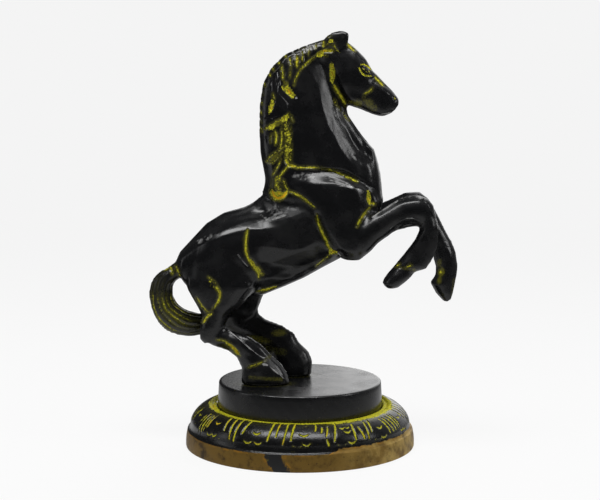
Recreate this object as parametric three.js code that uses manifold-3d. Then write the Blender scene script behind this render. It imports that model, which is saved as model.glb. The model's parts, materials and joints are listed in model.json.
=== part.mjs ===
import * as THREE from "three";
import { mergeVertices } from "three/addons/utils/BufferGeometryUtils.js";
import Module from "manifold-3d";

// A rearing horse in cast brass on a turned two-step base.
// Millimetres, +Z up, the horse faces +X and its right side faces -Y.

const wasm = await Module();
wasm.setup();

// Foot ring: a cast shell with a bare band, a convex engraved border and a shelf inside for the drum
const footRadius = 55;
const bandHeight = 8.3;
const bandDraft = 0.7;
const stepWidth = 2.3;
const stepHeight = 3.2;
const borderWidth = 9.2;
const borderRise = 8.2;
const borderFullness = 1.6;
const lipWidth = 3.6;
const channelWidth = 1;
const channelDepth = 0.5;
const ringWall = 4;
const seatDepth = 3.7;
const seatClearance = 0.3;
const shelfWidth = 6.4;
const shelfThickness = 3;
const ringSides = 44;

// Engraving of the border: groups of curved strokes
const strokeGroups = 15;
const strokesPerGroup = 4;
const strokePitch = 3.6;
const strokeWidth = 1.5;
const strokeDepth = 0.55;
const strokeLift = 0.4;
const strokeLean = 7;
const strokeStart = 84;
const strokeFall = 60;
const strokeSteps = 3;

// Drum: a turned cup, open below
const drumHeight = 15.2;
const drumDraft = 0.6;
const drumWall = 6;
const drumTopThickness = 4;
const drumEdgeRound = 1.2;
const drumFillet = 1.5;
const drumSides = 36;

// Fixings
const studRadius = 2.5;
const studDepthInHoof = 7;
const studTail = 1;
const studTip = 0.4;
const washerRim = 2.5;
const washerThickness = 1;
const nutWall = 1.5;
const nutHeight = 4;
const screwRadius = 1.5;
const screwGripInDrum = 6;
const screwTip = 0.5;
const screwHeadRim = 1.3;
const screwHeadHeight = 2;
const screwCount = 3;
const holeClearance = 0.3;
const roundSides = 12;

// Horse: its height from the soles to the ear tips, half widths of its masses and how far
// each leg stands from the middle plane. Its side view is drawn on a grid of this many squares.
const horseHeight = 166;
const gridSquares = 166;
const barrelHalfWidth = 15.5;
const rumpHalfWidth = 14.5;
const chestHalfWidth = 14.5;
const neckHalfWidth = 9;
const cheekHalfWidth = 7.2;
const muzzleHalfWidth = 4.5;
const maneHalfWidth = 7.8;
const earHalfWidth = 2.5;
const earSpread = 4.3;
const shoulderHalfWidth = 7;
const thighHalfWidth = 9.3;
const shankHalfWidth = 4.7;
const hoofHalfWidth = 6.6;
const tailHalfWidth = 5.7;
const rightHindY = -10;
const leftHindY = 11;
const foreY = 12;

// Joints of the castings: a peg on each foreleg and on the tail, brazed into a socket
const jointGap = 0.3;
const armPegLength = 14;
const tailPegLength = 10;
const pegRadius = 2.4;
const pegSides = 10;

// Chased lines and eyes
const chaseWidth = 1.3;
const chaseDepth = 0.9;
const chaseStep = 4.6;
const chaseLift = 1.4;
const eyeDrop = 4.2;
const eyeRadius = 1.7;
const eyeFlatness = 0.6;

// Shortest edge that the surfaces keep
const sliverWeld = 0.06;

// The base's radii follow from the foot inwards, and its heights from the ground upwards
const bandTopRadius = footRadius - bandDraft;
const borderFootRadius = footRadius - stepWidth;
const borderTopRadius = borderFootRadius - borderWidth;
const lipRadius = borderTopRadius - lipWidth;
const drumFootRadius = lipRadius - seatClearance;
const drumTopRadius = drumFootRadius - drumDraft;
const drumBoreRadius = drumFootRadius - drumWall;
const borderFootHeight = bandHeight + stepHeight;
const borderTop = borderFootHeight + borderRise;
const shelfHeight = borderTop - seatDepth;
const underShelf = shelfHeight - shelfThickness;
const drumTop = shelfHeight + drumHeight;
const square = horseHeight / gridSquares;
const underDrumTop = drumTop - drumTopThickness;

const blackPatina = { color: 0x18181b, roughness: 0.32, metalness: 0.55, flatShading: true };
const bareBrass = { color: 0x7a5c2c, roughness: 0.38, metalness: 0.9, flatShading: true };
const plainSteel = { color: 0x8d9094, roughness: 0.35, metalness: 1, flatShading: true };

// Solids

function solidFrom(geometry) {
  const bare = geometry.clone();
  bare.deleteAttribute("normal");
  bare.deleteAttribute("uv");
  const merged = mergeVertices(bare, 1e-4);
  const corners = merged.index.array;
  const kept = [];
  for (let i = 0; i < corners.length; i += 3) {
    const [a, b, c] = [corners[i], corners[i + 1], corners[i + 2]];
    if (a !== b && b !== c && c !== a) kept.push(a, b, c);
  }
  const vertProperties = new Float32Array(merged.attributes.position.array);
  const solidOf = (faces) =>
    new wasm.Manifold(new wasm.Mesh({ numProp: 3, vertProperties, triVerts: new Uint32Array(faces) }));
  const made = solidOf(kept);
  if (made.volume() > 0) return made;
  for (let i = 0; i < kept.length; i += 3) [kept[i + 1], kept[i + 2]] = [kept[i + 2], kept[i + 1]];
  return solidOf(kept);
}

// Cuts leave slivers. Each edge shorter than the weld closes up, where that keeps the skin whole.
function welded(corners, faces) {
  const facesOf = corners.map(() => new Set());
  faces.forEach((face, f) => face.forEach((v) => facesOf[v].add(f)));
  const neighboursOf = (v) => new Set([...facesOf[v]].flatMap((f) => faces[f]));
  const closes = (a, b) => {
    if (corners[a].distanceTo(corners[b]) > sliverWeld) return false;
    const near = neighboursOf(b);
    return [...neighboursOf(a)].filter((v) => near.has(v)).length === 4;
  };
  const close = (a, b) => {
    for (const f of [...facesOf[b]]) {
      if (faces[f].includes(a)) {
        faces[f].forEach((v) => facesOf[v].delete(f));
        faces[f] = null;
      } else {
        faces[f] = faces[f].map((v) => (v === b ? a : v));
        facesOf[a].add(f);
      }
    }
    facesOf[b].clear();
  };
  for (let again = true; again; ) {
    again = false;
    for (let f = 0; f < faces.length; f++) {
      const edges = faces[f] ? [[0, 1], [1, 2], [2, 0]] : [];
      const short = edges.map(([i, j]) => [faces[f][i], faces[f][j]]).find(([a, b]) => closes(a, b));
      if (!short) continue;
      close(...short);
      again = true;
    }
  }
  return faces.filter((face) => face);
}

function geometryOf(solid) {
  const { vertProperties, triVerts } = solid.getMesh();
  const three = (list, i) => [...list.slice(3 * i, 3 * i + 3)];
  const threes = (list) => Array.from({ length: list.length / 3 }, (_, i) => three(list, i));
  const corners = threes(vertProperties).map(([x, y, z]) => new THREE.Vector3(x, y, z));
  const faces = threes(triVerts);
  const kept = welded(corners, faces).flat();
  const used = [...new Set(kept)];
  const renumbered = new Map(used.map((v, i) => [v, i]));
  const geometry = new THREE.BufferGeometry().setFromPoints(used.map((v) => corners[v]));
  geometry.setIndex(kept.map((v) => renumbered.get(v)));
  geometry.computeVertexNormals();
  return geometry;
}

const joined = (solids) => solids.reduce((whole, solid) => whole.add(solid));
const cutBy = (whole, tools) => tools.reduce((rest, tool) => rest.subtract(tool), whole);

function named(name, geometry, look) {
  const mesh = new THREE.Mesh(geometry, new THREE.MeshStandardMaterial(look));
  mesh.name = name;
  return mesh;
}

// A body turned about the vertical axis, from its outline as [radius, height] pairs
function turned(outline, sides) {
  const closed = [...outline, outline[0]].map(([r, z]) => new THREE.Vector2(r, z));
  return new THREE.LatheGeometry(closed, sides).rotateX(Math.PI / 2);
}

// A round bar between two points
function bar(from, to, radius, sides) {
  const axis = to.clone().sub(from);
  const geometry = new THREE.CylinderGeometry(radius, radius, axis.length(), sides);
  const upright = new THREE.Vector3(0, 1, 0);
  const turn = new THREE.Quaternion().setFromUnitVectors(upright, axis.clone().normalize());
  const middle = from.clone().add(to).multiplyScalar(0.5);
  return geometry.applyQuaternion(turn).translate(middle.x, middle.y, middle.z);
}

// An upright hole at a place seen from above
function roundHole(place, low, high, radius) {
  const from = new THREE.Vector3(place.x, place.y, low);
  return solidFrom(bar(from, new THREE.Vector3(place.x, place.y, high), radius, roundSides));
}

// A closed skin over rings of equal length, fanned to a point at each end
function skin(start, rings, end) {
  const sides = rings[0].length;
  const corners = [start, ...rings.flat(), end];
  const faces = [];
  for (let k = 0; k < sides; k++) {
    const next = (k + 1) % sides;
    faces.push(0, 1 + next, 1 + k);
    for (let i = 0; i + 1 < rings.length; i++) {
      const [here, there] = [1 + i * sides, 1 + (i + 1) * sides];
      faces.push(here + k, here + next, there + next, here + k, there + next, there + k);
    }
    const rim = 1 + (rings.length - 1) * sides;
    faces.push(rim + k, rim + next, corners.length - 1);
  }
  return new THREE.BufferGeometry().setFromPoints(corners).setIndex(faces);
}

// Lofted masses of the horse.
// A section lies across the side view. It has an upper and a lower end there, as [x, z] in
// squares of the grid, a half width, a distance from the middle plane, a fullness (2 is an
// ellipse, less is a ridge, more is a box) and a skew that widens its upper end.

const onGrid = ([x, z], y = 0) => new THREE.Vector3(square * x, y, square * z);

function section(upper, lower, half, y = 0, fullness = 2, skew = 0) {
  return { upper, lower, half, y, fullness, skew };
}

function loft({ sections, sides, steps, ridge = 0 }, grow = 0) {
  const through = (pick) => new THREE.CatmullRomCurve3(sections.map(pick), false, "catmullrom", 0.5);
  const upper = through((s) => onGrid(s.upper, s.y));
  const lower = through((s) => onGrid(s.lower, s.y));
  const form = through((s) => new THREE.Vector3(s.half, s.fullness, s.skew));
  const count = (sections.length - 1) * steps;
  const middles = [];
  const rings = [];
  for (let i = 0; i <= count; i++) {
    const top = upper.getPoint(i / count);
    const bottom = lower.getPoint(i / count);
    const { x: half, y: fullness, z: skew } = form.getPoint(i / count);
    const middle = top.clone().add(bottom).multiplyScalar(0.5);
    const reach = top.clone().sub(middle);
    reach.setLength(reach.length() + grow);
    const bent = (value) => Math.sign(value) * Math.abs(value) ** (2 / fullness);
    const ring = [];
    for (let k = 0; k < sides; k++) {
      const angle = (2 * Math.PI * k) / sides;
      const hair = k % 2 ? 1 - ridge : 1;
      const along = hair * bent(Math.cos(angle));
      const across = hair * (half + grow) * bent(Math.sin(angle)) * (1 + skew * along);
      ring.push(middle.clone().addScaledVector(reach, along).add(new THREE.Vector3(0, across, 0)));
    }
    middles.push(middle);
    rings.push(ring);
  }
  const first = middles[0].clone().sub(middles[1]).setLength(grow);
  const final = middles[count].clone().sub(middles[count - 1]).setLength(grow);
  rings[0].forEach((point) => point.add(first));
  rings[count].forEach((point) => point.add(final));
  return solidFrom(skin(middles[0].clone().add(first), rings, middles[count].clone().add(final)));
}

const trunk = {
  sides: 20,
  steps: 1,
  sections: [
    section([-59.5, 56.5], [-57, 50.5], 0.28 * rumpHalfWidth),
    section([-57, 62], [-54.5, 47], 0.65 * rumpHalfWidth),
    section([-50.8, 68.7], [-47, 41], 0.9 * rumpHalfWidth, 0, 2.2),
    section([-44.3, 75.6], [-38, 40], rumpHalfWidth, 0, 2.3),
    section([-36, 80.7], [-28, 40.5], rumpHalfWidth, 0, 2.3),
    section([-26.5, 83.3], [-17.5, 41.4], 0.97 * barrelHalfWidth, 0, 2.2, -0.05),
    section([-18.2, 87.2], [-8, 45.2], barrelHalfWidth, 0, 2.1, -0.08),
    section([-9, 91], [2, 49.6], barrelHalfWidth, 0, 2.1, -0.1),
    section([4, 94], [12, 55.2], barrelHalfWidth, 0, 2.1, -0.1),
    section([16, 96], [21, 60], 0.97 * chestHalfWidth, 0, 2.1),
    section([28, 96], [30.5, 69], 0.9 * chestHalfWidth),
    section([35.5, 93], [37.2, 80], 0.55 * chestHalfWidth),
  ],
};

const neck = {
  sides: 20,
  steps: 1,
  sections: [
    section([-10, 78], [33, 70], 0.8 * chestHalfWidth),
    section([-17, 89.5], [39.5, 86], 0.97 * chestHalfWidth, 0, 2.1, -0.1),
    section([-16.4, 100], [37.5, 98.6], 0.85 * chestHalfWidth, 0, 2.1, -0.15),
    section([-17.8, 111], [34.3, 110.5], 1.15 * neckHalfWidth, 0, 2.2, -0.2),
    section([-18.2, 122], [27.7, 119.4], neckHalfWidth, 0, 2.3, -0.2),
    section([-17.9, 133], [22.5, 127], 0.92 * neckHalfWidth, 0, 2.3, -0.2),
    section([-15.9, 142], [21.5, 133], 0.85 * neckHalfWidth, 0, 2.3, -0.2),
    section([-12, 149], [21.5, 138], 0.78 * neckHalfWidth, 0, 2.2, -0.15),
    section([-6, 154.6], [22.5, 143], 0.7 * neckHalfWidth, 0, 2.2, -0.1),
    section([2, 157.8], [24, 147], 0.62 * neckHalfWidth),
    section([10, 160.4], [25, 150], 0.52 * neckHalfWidth),
  ],
};

const head = {
  sides: 18,
  steps: 1,
  sections: [
    section([16, 162], [13.5, 143], 0.62 * cheekHalfWidth),
    section([22.9, 160.6], [15.4, 139.5], 0.92 * cheekHalfWidth, 0, 2.6, -0.1),
    section([26.8, 157.4], [19, 134.3], cheekHalfWidth, 0, 2.9, -0.05),
    section([30.7, 153.5], [23.8, 131.2], 0.97 * cheekHalfWidth, 0, 2.7, 0),
    section([33.7, 148.1], [28, 129.9], 0.86 * cheekHalfWidth, 0, 2.4, 0),
    section([37, 144.8], [31.4, 128.5], 1.15 * muzzleHalfWidth, 0, 2.3),
    section([40.2, 141.4], [35, 127], muzzleHalfWidth, 0, 2.2),
    section([43.6, 138], [38.8, 126.3], muzzleHalfWidth, 0, 2.3),
    section([46, 135], [42.6, 127.7], 0.93 * muzzleHalfWidth, 0, 2.3),
    section([46.6, 133], [45.3, 130], 0.55 * muzzleHalfWidth),
  ],
};

const mane = {
  sides: 14,
  steps: 1,
  sections: [
    section([15, 163], [10.5, 156.5], 0.6 * maneHalfWidth, 0, 2.4, -0.2),
    section([9.6, 161.6], [6.5, 153.5], 0.72 * maneHalfWidth, 0, 2.6, -0.25),
    section([1, 158.7], [0, 148.5], 0.8 * maneHalfWidth, 0, 2.6, -0.3),
    section([-7, 155.2], [-2.6, 143.5], 0.86 * maneHalfWidth, 0, 2.6, -0.3),
    section([-13.3, 149.2], [-3, 138.8], 0.92 * maneHalfWidth, 0, 2.6, -0.3),
    section([-17.3, 141.8], [-3, 134], 0.96 * maneHalfWidth, 0, 2.6, -0.3),
    section([-18.9, 132], [-3, 128], maneHalfWidth, 0, 2.6, -0.3),
    section([-19.1, 120], [-3, 119.5], 1.04 * maneHalfWidth, 0, 2.6, -0.3),
    section([-18.6, 109], [-3.6, 110], 1.14 * maneHalfWidth, 0, 2.6, -0.3),
    section([-16.8, 99.5], [-5, 100.5], 1.24 * maneHalfWidth, 0, 2.6, -0.3),
    section([-15.4, 92.5], [-7, 92.5], 1.3 * maneHalfWidth, 0, 2.4, -0.25),
    section([-12.8, 87.6], [-9.4, 87.6], 1.1 * maneHalfWidth, 0, 2.2, -0.2),
  ],
};

const ear = (side) => ({
  sides: 10,
  steps: 1,
  sections: [
    section([10.2, 160.6], [20, 156], 0.8 * earHalfWidth, 0.75 * earSpread * side),
    section([12, 163.4], [21.8, 159], earHalfWidth, 0.84 * earSpread * side),
    section([15.4, 165.5], [22.7, 161.8], 0.88 * earHalfWidth, 0.93 * earSpread * side),
    section([19, 166], [22.9, 163.8], 0.6 * earHalfWidth, 0.98 * earSpread * side),
    section([21.2, 165.7], [22.4, 165], 0.28 * earHalfWidth, earSpread * side),
  ],
});

const shoulder = (side) => ({
  sides: 16,
  steps: 1,
  sections: [
    section([19, 101], [0, 102], 0.5 * shoulderHalfWidth, 0.66 * foreY * side),
    section([28, 95.5], [-5, 95.5], 0.82 * shoulderHalfWidth, 0.75 * foreY * side),
    section([31.5, 87.5], [1, 88], 0.97 * shoulderHalfWidth, 0.82 * foreY * side, 2.2),
    section([31.5, 79], [6.5, 79.5], shoulderHalfWidth, 0.87 * foreY * side, 2.2),
    section([31.5, 71], [10, 71.5], shoulderHalfWidth, 0.91 * foreY * side, 2.1),
    section([31, 65], [14, 64.5], 0.88 * shoulderHalfWidth, 0.94 * foreY * side),
    section([28, 59.5], [20, 59.9], 0.5 * shoulderHalfWidth, 0.95 * foreY * side),
  ],
});

const rightThigh = {
  sides: 16,
  steps: 1,
  sections: [
    section([-25, 66], [-50, 66], 0.86 * thighHalfWidth, 0.55 * rightHindY),
    section([-20.5, 55], [-54, 56], thighHalfWidth, 0.68 * rightHindY),
    section([-19.5, 46.8], [-53, 46.5], 0.95 * thighHalfWidth, 0.8 * rightHindY, 2.1),
    section([-27, 38.2], [-48.4, 38], 0.77 * thighHalfWidth, 0.9 * rightHindY),
    section([-33.5, 32.4], [-46.2, 33], 1.2 * shankHalfWidth, 0.97 * rightHindY),
    section([-35.4, 28.4], [-47.4, 26.5], 1.1 * shankHalfWidth, rightHindY, 1.9),
    section([-35.2, 24.6], [-47.2, 21.6], 0.95 * shankHalfWidth, rightHindY, 1.8),
    section([-37, 21.8], [-45.4, 19.6], 0.6 * shankHalfWidth, rightHindY),
  ],
};

const rightCannon = {
  sides: 12,
  steps: 1,
  sections: [
    section([-38, 28.5], [-46, 21.5], 0.85 * shankHalfWidth, rightHindY),
    section([-32.5, 25.4], [-41.5, 18.6], shankHalfWidth, rightHindY, 1.7),
    section([-23.6, 22.6], [-34.3, 16.2], shankHalfWidth, rightHindY, 1.5),
    section([-18.2, 18.6], [-29.4, 12.7], 1.1 * shankHalfWidth, rightHindY, 1.5),
    section([-13.4, 13.5], [-27.2, 8], 0.9 * hoofHalfWidth, rightHindY, 1.7),
    section([-9.2, 9.6], [-27.3, 5], 0.97 * hoofHalfWidth, rightHindY, 1.9),
    section([-6.4, 5.4], [-27.6, 2.4], hoofHalfWidth, rightHindY, 2.1),
    section([-4.7, 0], [-27.6, 0], hoofHalfWidth, rightHindY, 2.3),
  ],
};

const leftThigh = {
  sides: 16,
  steps: 1,
  sections: [
    section([-22, 66], [-48, 66], 0.86 * thighHalfWidth, 0.55 * leftHindY),
    section([-15.5, 55], [-51, 56], thighHalfWidth, 0.68 * leftHindY),
    section([-13.5, 46.5], [-47, 46.5], 0.95 * thighHalfWidth, 0.8 * leftHindY, 2.1),
    section([-18.5, 39], [-40, 38], 0.77 * thighHalfWidth, 0.9 * leftHindY),
    section([-20.9, 33.2], [-37, 33.4], 1.2 * shankHalfWidth, 0.97 * leftHindY),
    section([-20.8, 30], [-36.5, 27.4], 1.1 * shankHalfWidth, leftHindY, 1.9),
    section([-22.5, 26.4], [-34.5, 22.6], 0.8 * shankHalfWidth, leftHindY, 1.8),
  ],
};

const leftCannon = {
  sides: 12,
  steps: 1,
  sections: [
    section([-22.6, 32], [-34.5, 23.6], 0.85 * shankHalfWidth, leftHindY),
    section([-17.4, 27.6], [-28.5, 18.4], shankHalfWidth, leftHindY, 1.7),
    section([-9.8, 24.3], [-21.5, 13.6], shankHalfWidth, leftHindY, 1.5),
    section([-3.2, 20.6], [-17.5, 9.6], 1.1 * shankHalfWidth, leftHindY, 1.5),
    section([-0.4, 16], [-15.5, 6.6], 0.9 * hoofHalfWidth, leftHindY, 1.7),
    section([4.1, 11.6], [-15, 4.4], 0.97 * hoofHalfWidth, leftHindY, 1.9),
    section([6, 6.8], [-14.6, 2.2], hoofHalfWidth, leftHindY, 2.1),
    section([5.5, 0], [-14.6, 0], hoofHalfWidth, leftHindY, 2.3),
  ],
};

const rightForearm = {
  sides: 14,
  steps: 1,
  sections: [
    section([23, 76], [24, 64], 0.98 * shankHalfWidth, -0.95 * foreY),
    section([28.5, 78.5], [28.5, 60], 1.3 * shankHalfWidth, -0.98 * foreY, 1.9),
    section([34.5, 81.4], [36, 67.8], 1.25 * shankHalfWidth, -foreY, 1.8),
    section([41, 85], [43.5, 73.6], 1.15 * shankHalfWidth, -foreY, 1.7),
    section([48, 89.2], [50, 75], 1.15 * shankHalfWidth, -foreY, 1.7),
    section([54.5, 90.4], [55, 75.4], 1.2 * shankHalfWidth, -foreY, 1.8),
    section([60, 88], [57.6, 76], shankHalfWidth, -foreY, 1.9),
    section([62.4, 84], [60, 78.5], 0.6 * shankHalfWidth, -foreY),
  ],
};

const rightForeCannon = {
  sides: 12,
  steps: 1,
  sections: [
    section([62, 86], [54.6, 83], 0.8 * shankHalfWidth, -foreY),
    section([64.8, 75], [56.4, 74.6], shankHalfWidth, -foreY, 1.8),
    section([64.2, 65.4], [53.8, 69], 0.95 * shankHalfWidth, -foreY, 1.8),
    section([61.8, 59.4], [49.6, 63.4], shankHalfWidth, -foreY, 1.8),
    section([59, 55.4], [46.4, 59.4], 1.1 * shankHalfWidth, -foreY, 1.9),
    section([53.8, 54], [44, 56.4], shankHalfWidth, -foreY, 1.9),
    section([52.2, 51.8], [41.6, 53.6], 0.85 * hoofHalfWidth, -foreY),
    section([49.6, 49.3], [39.3, 50.4], 0.88 * hoofHalfWidth, -foreY),
    section([46, 46.6], [38.9, 49], 0.8 * hoofHalfWidth, -foreY),
    section([42.8, 46], [39.8, 47.2], 0.5 * hoofHalfWidth, -foreY),
  ],
};

const leftForearm = {
  sides: 14,
  steps: 1,
  sections: [
    section([23, 77], [24, 64.5], 0.98 * shankHalfWidth, 0.95 * foreY),
    section([28.5, 79.5], [28.5, 61.5], 1.3 * shankHalfWidth, 0.97 * foreY, 1.9),
    section([36, 82.8], [37, 69], 1.25 * shankHalfWidth, 0.95 * foreY, 1.8),
    section([43.6, 86], [45, 74], 1.15 * shankHalfWidth, 0.92 * foreY, 1.8),
    section([51, 89.4], [51.6, 76], 1.15 * shankHalfWidth, 0.92 * foreY, 1.8),
    section([57.4, 89.8], [56.4, 76.4], 1.15 * shankHalfWidth, 0.92 * foreY, 1.8),
    section([61.6, 86.6], [58.6, 77.4], 0.9 * shankHalfWidth, 0.92 * foreY),
    section([63.4, 83], [61, 78.6], 0.6 * shankHalfWidth, 0.92 * foreY),
  ],
};

const leftForeCannon = {
  sides: 12,
  steps: 1,
  sections: [
    section([62.6, 85.4], [54.8, 80.6], 0.8 * shankHalfWidth, 0.92 * foreY),
    section([66.5, 78.4], [57.6, 74.6], shankHalfWidth, 0.92 * foreY, 1.8),
    section([70, 71.4], [61, 68], 0.95 * shankHalfWidth, 0.92 * foreY, 1.8),
    section([73.3, 65.4], [63.6, 62.2], 0.95 * shankHalfWidth, 0.92 * foreY, 1.8),
    section([75.4, 60], [64.8, 57.4], 1.05 * shankHalfWidth, 0.92 * foreY, 1.9),
    section([76.3, 54], [66, 52.8], 1.05 * shankHalfWidth, 0.92 * foreY, 1.9),
    section([76, 49.6], [65.8, 49], 0.85 * hoofHalfWidth, 0.92 * foreY),
    section([75.2, 45.8], [63.3, 45.6], 0.9 * hoofHalfWidth, 0.92 * foreY),
    section([74.2, 41], [66.2, 40.4], 0.8 * hoofHalfWidth, 0.92 * foreY),
    section([73.2, 37], [69.8, 36.6], 0.5 * hoofHalfWidth, 0.92 * foreY),
  ],
};

const tailLoop = {
  ridge: 0.09,
  sides: 20,
  steps: 2,
  sections: [
    section([-56, 59.5], [-53.5, 52.5], 0.7 * tailHalfWidth),
    section([-62.4, 54.8], [-57, 49.4], 0.85 * tailHalfWidth),
    section([-68.3, 51.3], [-59.6, 47.6], 0.95 * tailHalfWidth),
    section([-71.6, 45.9], [-60.8, 43.8], tailHalfWidth),
    section([-72.1, 39], [-60.2, 40], tailHalfWidth, 0.3),
    section([-70.2, 31], [-58, 36.6], tailHalfWidth, 0.6),
    section([-64.9, 24.3], [-54.6, 34.2], tailHalfWidth, 1),
    section([-57.8, 21.3], [-50.8, 33], 0.92 * tailHalfWidth, 1.2),
    section([-51, 20.8], [-46.6, 32], 0.8 * tailHalfWidth, 1.4),
    section([-45, 22.6], [-42.6, 30.6], 0.62 * tailHalfWidth, 1.6),
    section([-40.4, 24.6], [-39.4, 28.8], 0.35 * tailHalfWidth, 1.8),
  ],
};

// Chased lines: a V-shaped chisel follows points on the surface and runs out at both ends.
// The lift is how far the chisel stands above those points.
function chiselCut(points, outwards, { width, depth, lift }) {
  const slope = width / (2 * depth);
  const last = points.length - 1;
  const above = (i, height) => points[i].clone().addScaledVector(outwards[i], height);
  const rings = [];
  for (let i = 1; i < last; i++) {
    const run = points[i + 1].clone().sub(points[i - 1]).normalize();
    const across = new THREE.Vector3().crossVectors(run, outwards[i]).normalize();
    const deep = depth * Math.sin((Math.PI * i) / last) ** 0.5;
    const wide = slope * (deep + lift);
    const edge = (aside) => above(i, lift).addScaledVector(across, aside);
    rings.push([edge(wide), edge(-wide), above(i, -deep)]);
  }
  return solidFrom(skin(above(0, lift / 2), rings, above(last, lift / 2)));
}

// Where a point of the side view lies on one side of the body
function onSide(body, side, { x, z }) {
  const beside = new THREE.Vector3(x, side * horseHeight, z);
  const [hit] = new THREE.Raycaster(beside, new THREE.Vector3(0, -side, 0)).intersectObject(body);
  return hit?.point;
}

// A smooth line through points of the side view, laid on one side of the body as far as it reaches
function lineOn(body, side, line) {
  const curve = new THREE.CatmullRomCurve3(line.map((place) => onGrid(place)));
  const count = Math.max(4, Math.round(curve.getLength() / chaseStep));
  const laid = curve.getSpacedPoints(count).map((point) => onSide(body, side, point));
  const points = laid.filter((point) => point);
  if (points.length < 4) return [];
  const outwards = points.map(() => new THREE.Vector3(0, side, 0));
  return [chiselCut(points, outwards, { width: chaseWidth, depth: chaseDepth, lift: chaseLift })];
}

const bodyLines = [
  [[-4.9, 103.4], [7.4, 102.7], [17.1, 100.6], [26, 97]],
  [[-5.4, 92.5], [0.4, 89.5], [6.5, 83.9], [9.1, 73.6], [12.8, 65.5]],
  [[32.6, 91.8], [33.2, 85.5], [29.6, 80.4]],
  [[-24.5, 73.5], [-25.5, 68], [-25, 62], [-23, 58.4], [-19.5, 52]],
  [[15.5, 151.5], [15.2, 143.5], [18.8, 136], [21, 132.4]],
  [[33.8, 140], [33, 138], [30, 136.6]],
  [[44.2, 131.4], [42, 130.2], [39.4, 129.4]],
];

const maneLines = [
  [[7.5, 161.2], [5.5, 157], [4.6, 153.5]],
  [[2.4, 159.2], [1, 155], [0.6, 151]],
  [[-3, 157.4], [-3.8, 152], [-3, 146.6]],
  [[-8, 154.6], [-8, 149], [-6.6, 142.5]],
  [[-12.6, 150], [-11.4, 145], [-8.6, 139.6], [-4.4, 135]],
  [[-16.6, 143], [-14.6, 138], [-13.4, 131.5], [-15.4, 126.5]],
  [[-8.6, 139], [-9, 133], [-7, 127], [-6, 122]],
  [[-17.2, 121], [-12, 123.6], [-6.5, 124.6]],
  [[-8.2, 120], [-8, 115], [-9.4, 109.5], [-9, 103.5]],
  [[-15.6, 105], [-12.4, 109.6], [-8.6, 111]],
  [[-14, 92.4], [-10.6, 88.2], [-6.8, 91.6]],
];

const rightLegLines = [
  [[-42.8, 50.9], [-38.6, 47.3], [-37.2, 44], [-38, 39.6], [-41, 35.8]],
  [[-38.4, 20.6], [-33.8, 17.6], [-30, 14.4]],
  [[-25.4, 8.2], [-21.4, 9.4], [-17.8, 10.4]],
];

const leftLegLines = [
  [[-37, 50.9], [-33, 47.3], [-31.4, 44], [-32, 39.6], [-35, 35.8]],
  [[-25.4, 20.6], [-20.8, 17.6], [-17, 14.4]],
  [[-13.5, 9], [-9.4, 10.2], [-5.4, 11.4]],
];

// Castings

// A peg across a joint: its middle and its direction are in the side view
function pegOf(middle, [alongX, alongZ], length, grow) {
  const half = new THREE.Vector3(alongX, 0, alongZ).setLength(length / 2 + grow);
  return solidFrom(bar(middle.clone().sub(half), middle.clone().add(half), pegRadius + grow, pegSides));
}

const rightPeg = (grow) => pegOf(onGrid([29, 70.5], -0.96 * foreY), [0.9, 0.43], armPegLength, grow);
const leftPeg = (grow) => pegOf(onGrid([29, 71.5], 0.96 * foreY), [0.9, 0.43], armPegLength, grow);
const tailPeg = (grow) => pegOf(onGrid([-57.5, 53.6]), [0.84, 0.54], tailPegLength, grow);

// An eye lies below the forehead, between the head's fourth and fifth sections
function eye(side, body) {
  const [forehead, jaw] = ["upper", "lower"].map((end) =>
    onGrid(head.sections[3][end]).lerp(onGrid(head.sections[4][end]), 0.5),
  );
  const down = jaw.sub(forehead).setLength(eyeDrop);
  const place = onSide(body, side, forehead.add(down));
  const bead = new THREE.SphereGeometry(eyeRadius, 10, 6).scale(1, eyeFlatness, 0.8);
  return solidFrom(bead.translate(place.x, place.y, place.z));
}

// Each hind hoof is held at the middle of its sole
const soleMiddle = ({ sections: [...all] }) => {
  const { upper, lower, y } = all.pop();
  return onGrid(upper, y).lerp(onGrid(lower, y), 0.5);
};
const soleMiddles = { right: soleMiddle(rightCannon), left: soleMiddle(leftCannon) };

function horseBody() {
  const masses = [trunk, neck, head, mane, rightThigh, rightCannon, leftThigh, leftCannon];
  const paired = [-1, 1].flatMap((side) => [ear(side), shoulder(side)]);
  const whole = joined([...masses, ...paired].map((mass) => loft(mass)));
  const plain = new THREE.Mesh(geometryOf(whole));
  const cutsOn = (side, lines) => lines.flatMap((line) => lineOn(plain, side, line));
  const rightCuts = cutsOn(-1, [...bodyLines, ...maneLines, ...rightLegLines]);
  const leftCuts = cutsOn(1, [...bodyLines, ...maneLines, ...leftLegLines]);
  const eyed = joined([cutBy(whole, [...rightCuts, ...leftCuts]), eye(-1, plain), eye(1, plain)]);
  const sockets = [rightPeg(jointGap), leftPeg(jointGap), tailPeg(jointGap)];
  const studHoles = Object.values(soleMiddles).map((middle) =>
    roundHole(middle, -1, studDepthInHoof + holeClearance, studRadius + holeClearance),
  );
  return cutBy(eyed, [...sockets, ...studHoles]);
}

function foreleg(side, arm, cannon, peg) {
  const neighbours = [trunk, neck, shoulder(side)].map((mass) => loft(mass, jointGap));
  return cutBy(joined([loft(arm), loft(cannon)]), neighbours).add(peg(0));
}

function tail() {
  const neighbours = [trunk, rightThigh, leftThigh].map((mass) => loft(mass, jointGap));
  return cutBy(loft(tailLoop), neighbours).add(tailPeg(0));
}

// Base

const { degToRad } = THREE.MathUtils;

// The border's section is a quarter of a flattened oval
function borderPoint(angle) {
  const power = 2 / borderFullness;
  const r = borderTopRadius + borderWidth * Math.cos(angle) ** power;
  const z = borderFootHeight + borderRise * Math.sin(angle) ** power;
  return [r, z];
}

function borderNormal(angle) {
  const power = 2 - 2 / borderFullness;
  const r = Math.cos(angle) ** power / borderWidth;
  return new THREE.Vector2(r, Math.sin(angle) ** power / borderRise).normalize();
}

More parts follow.
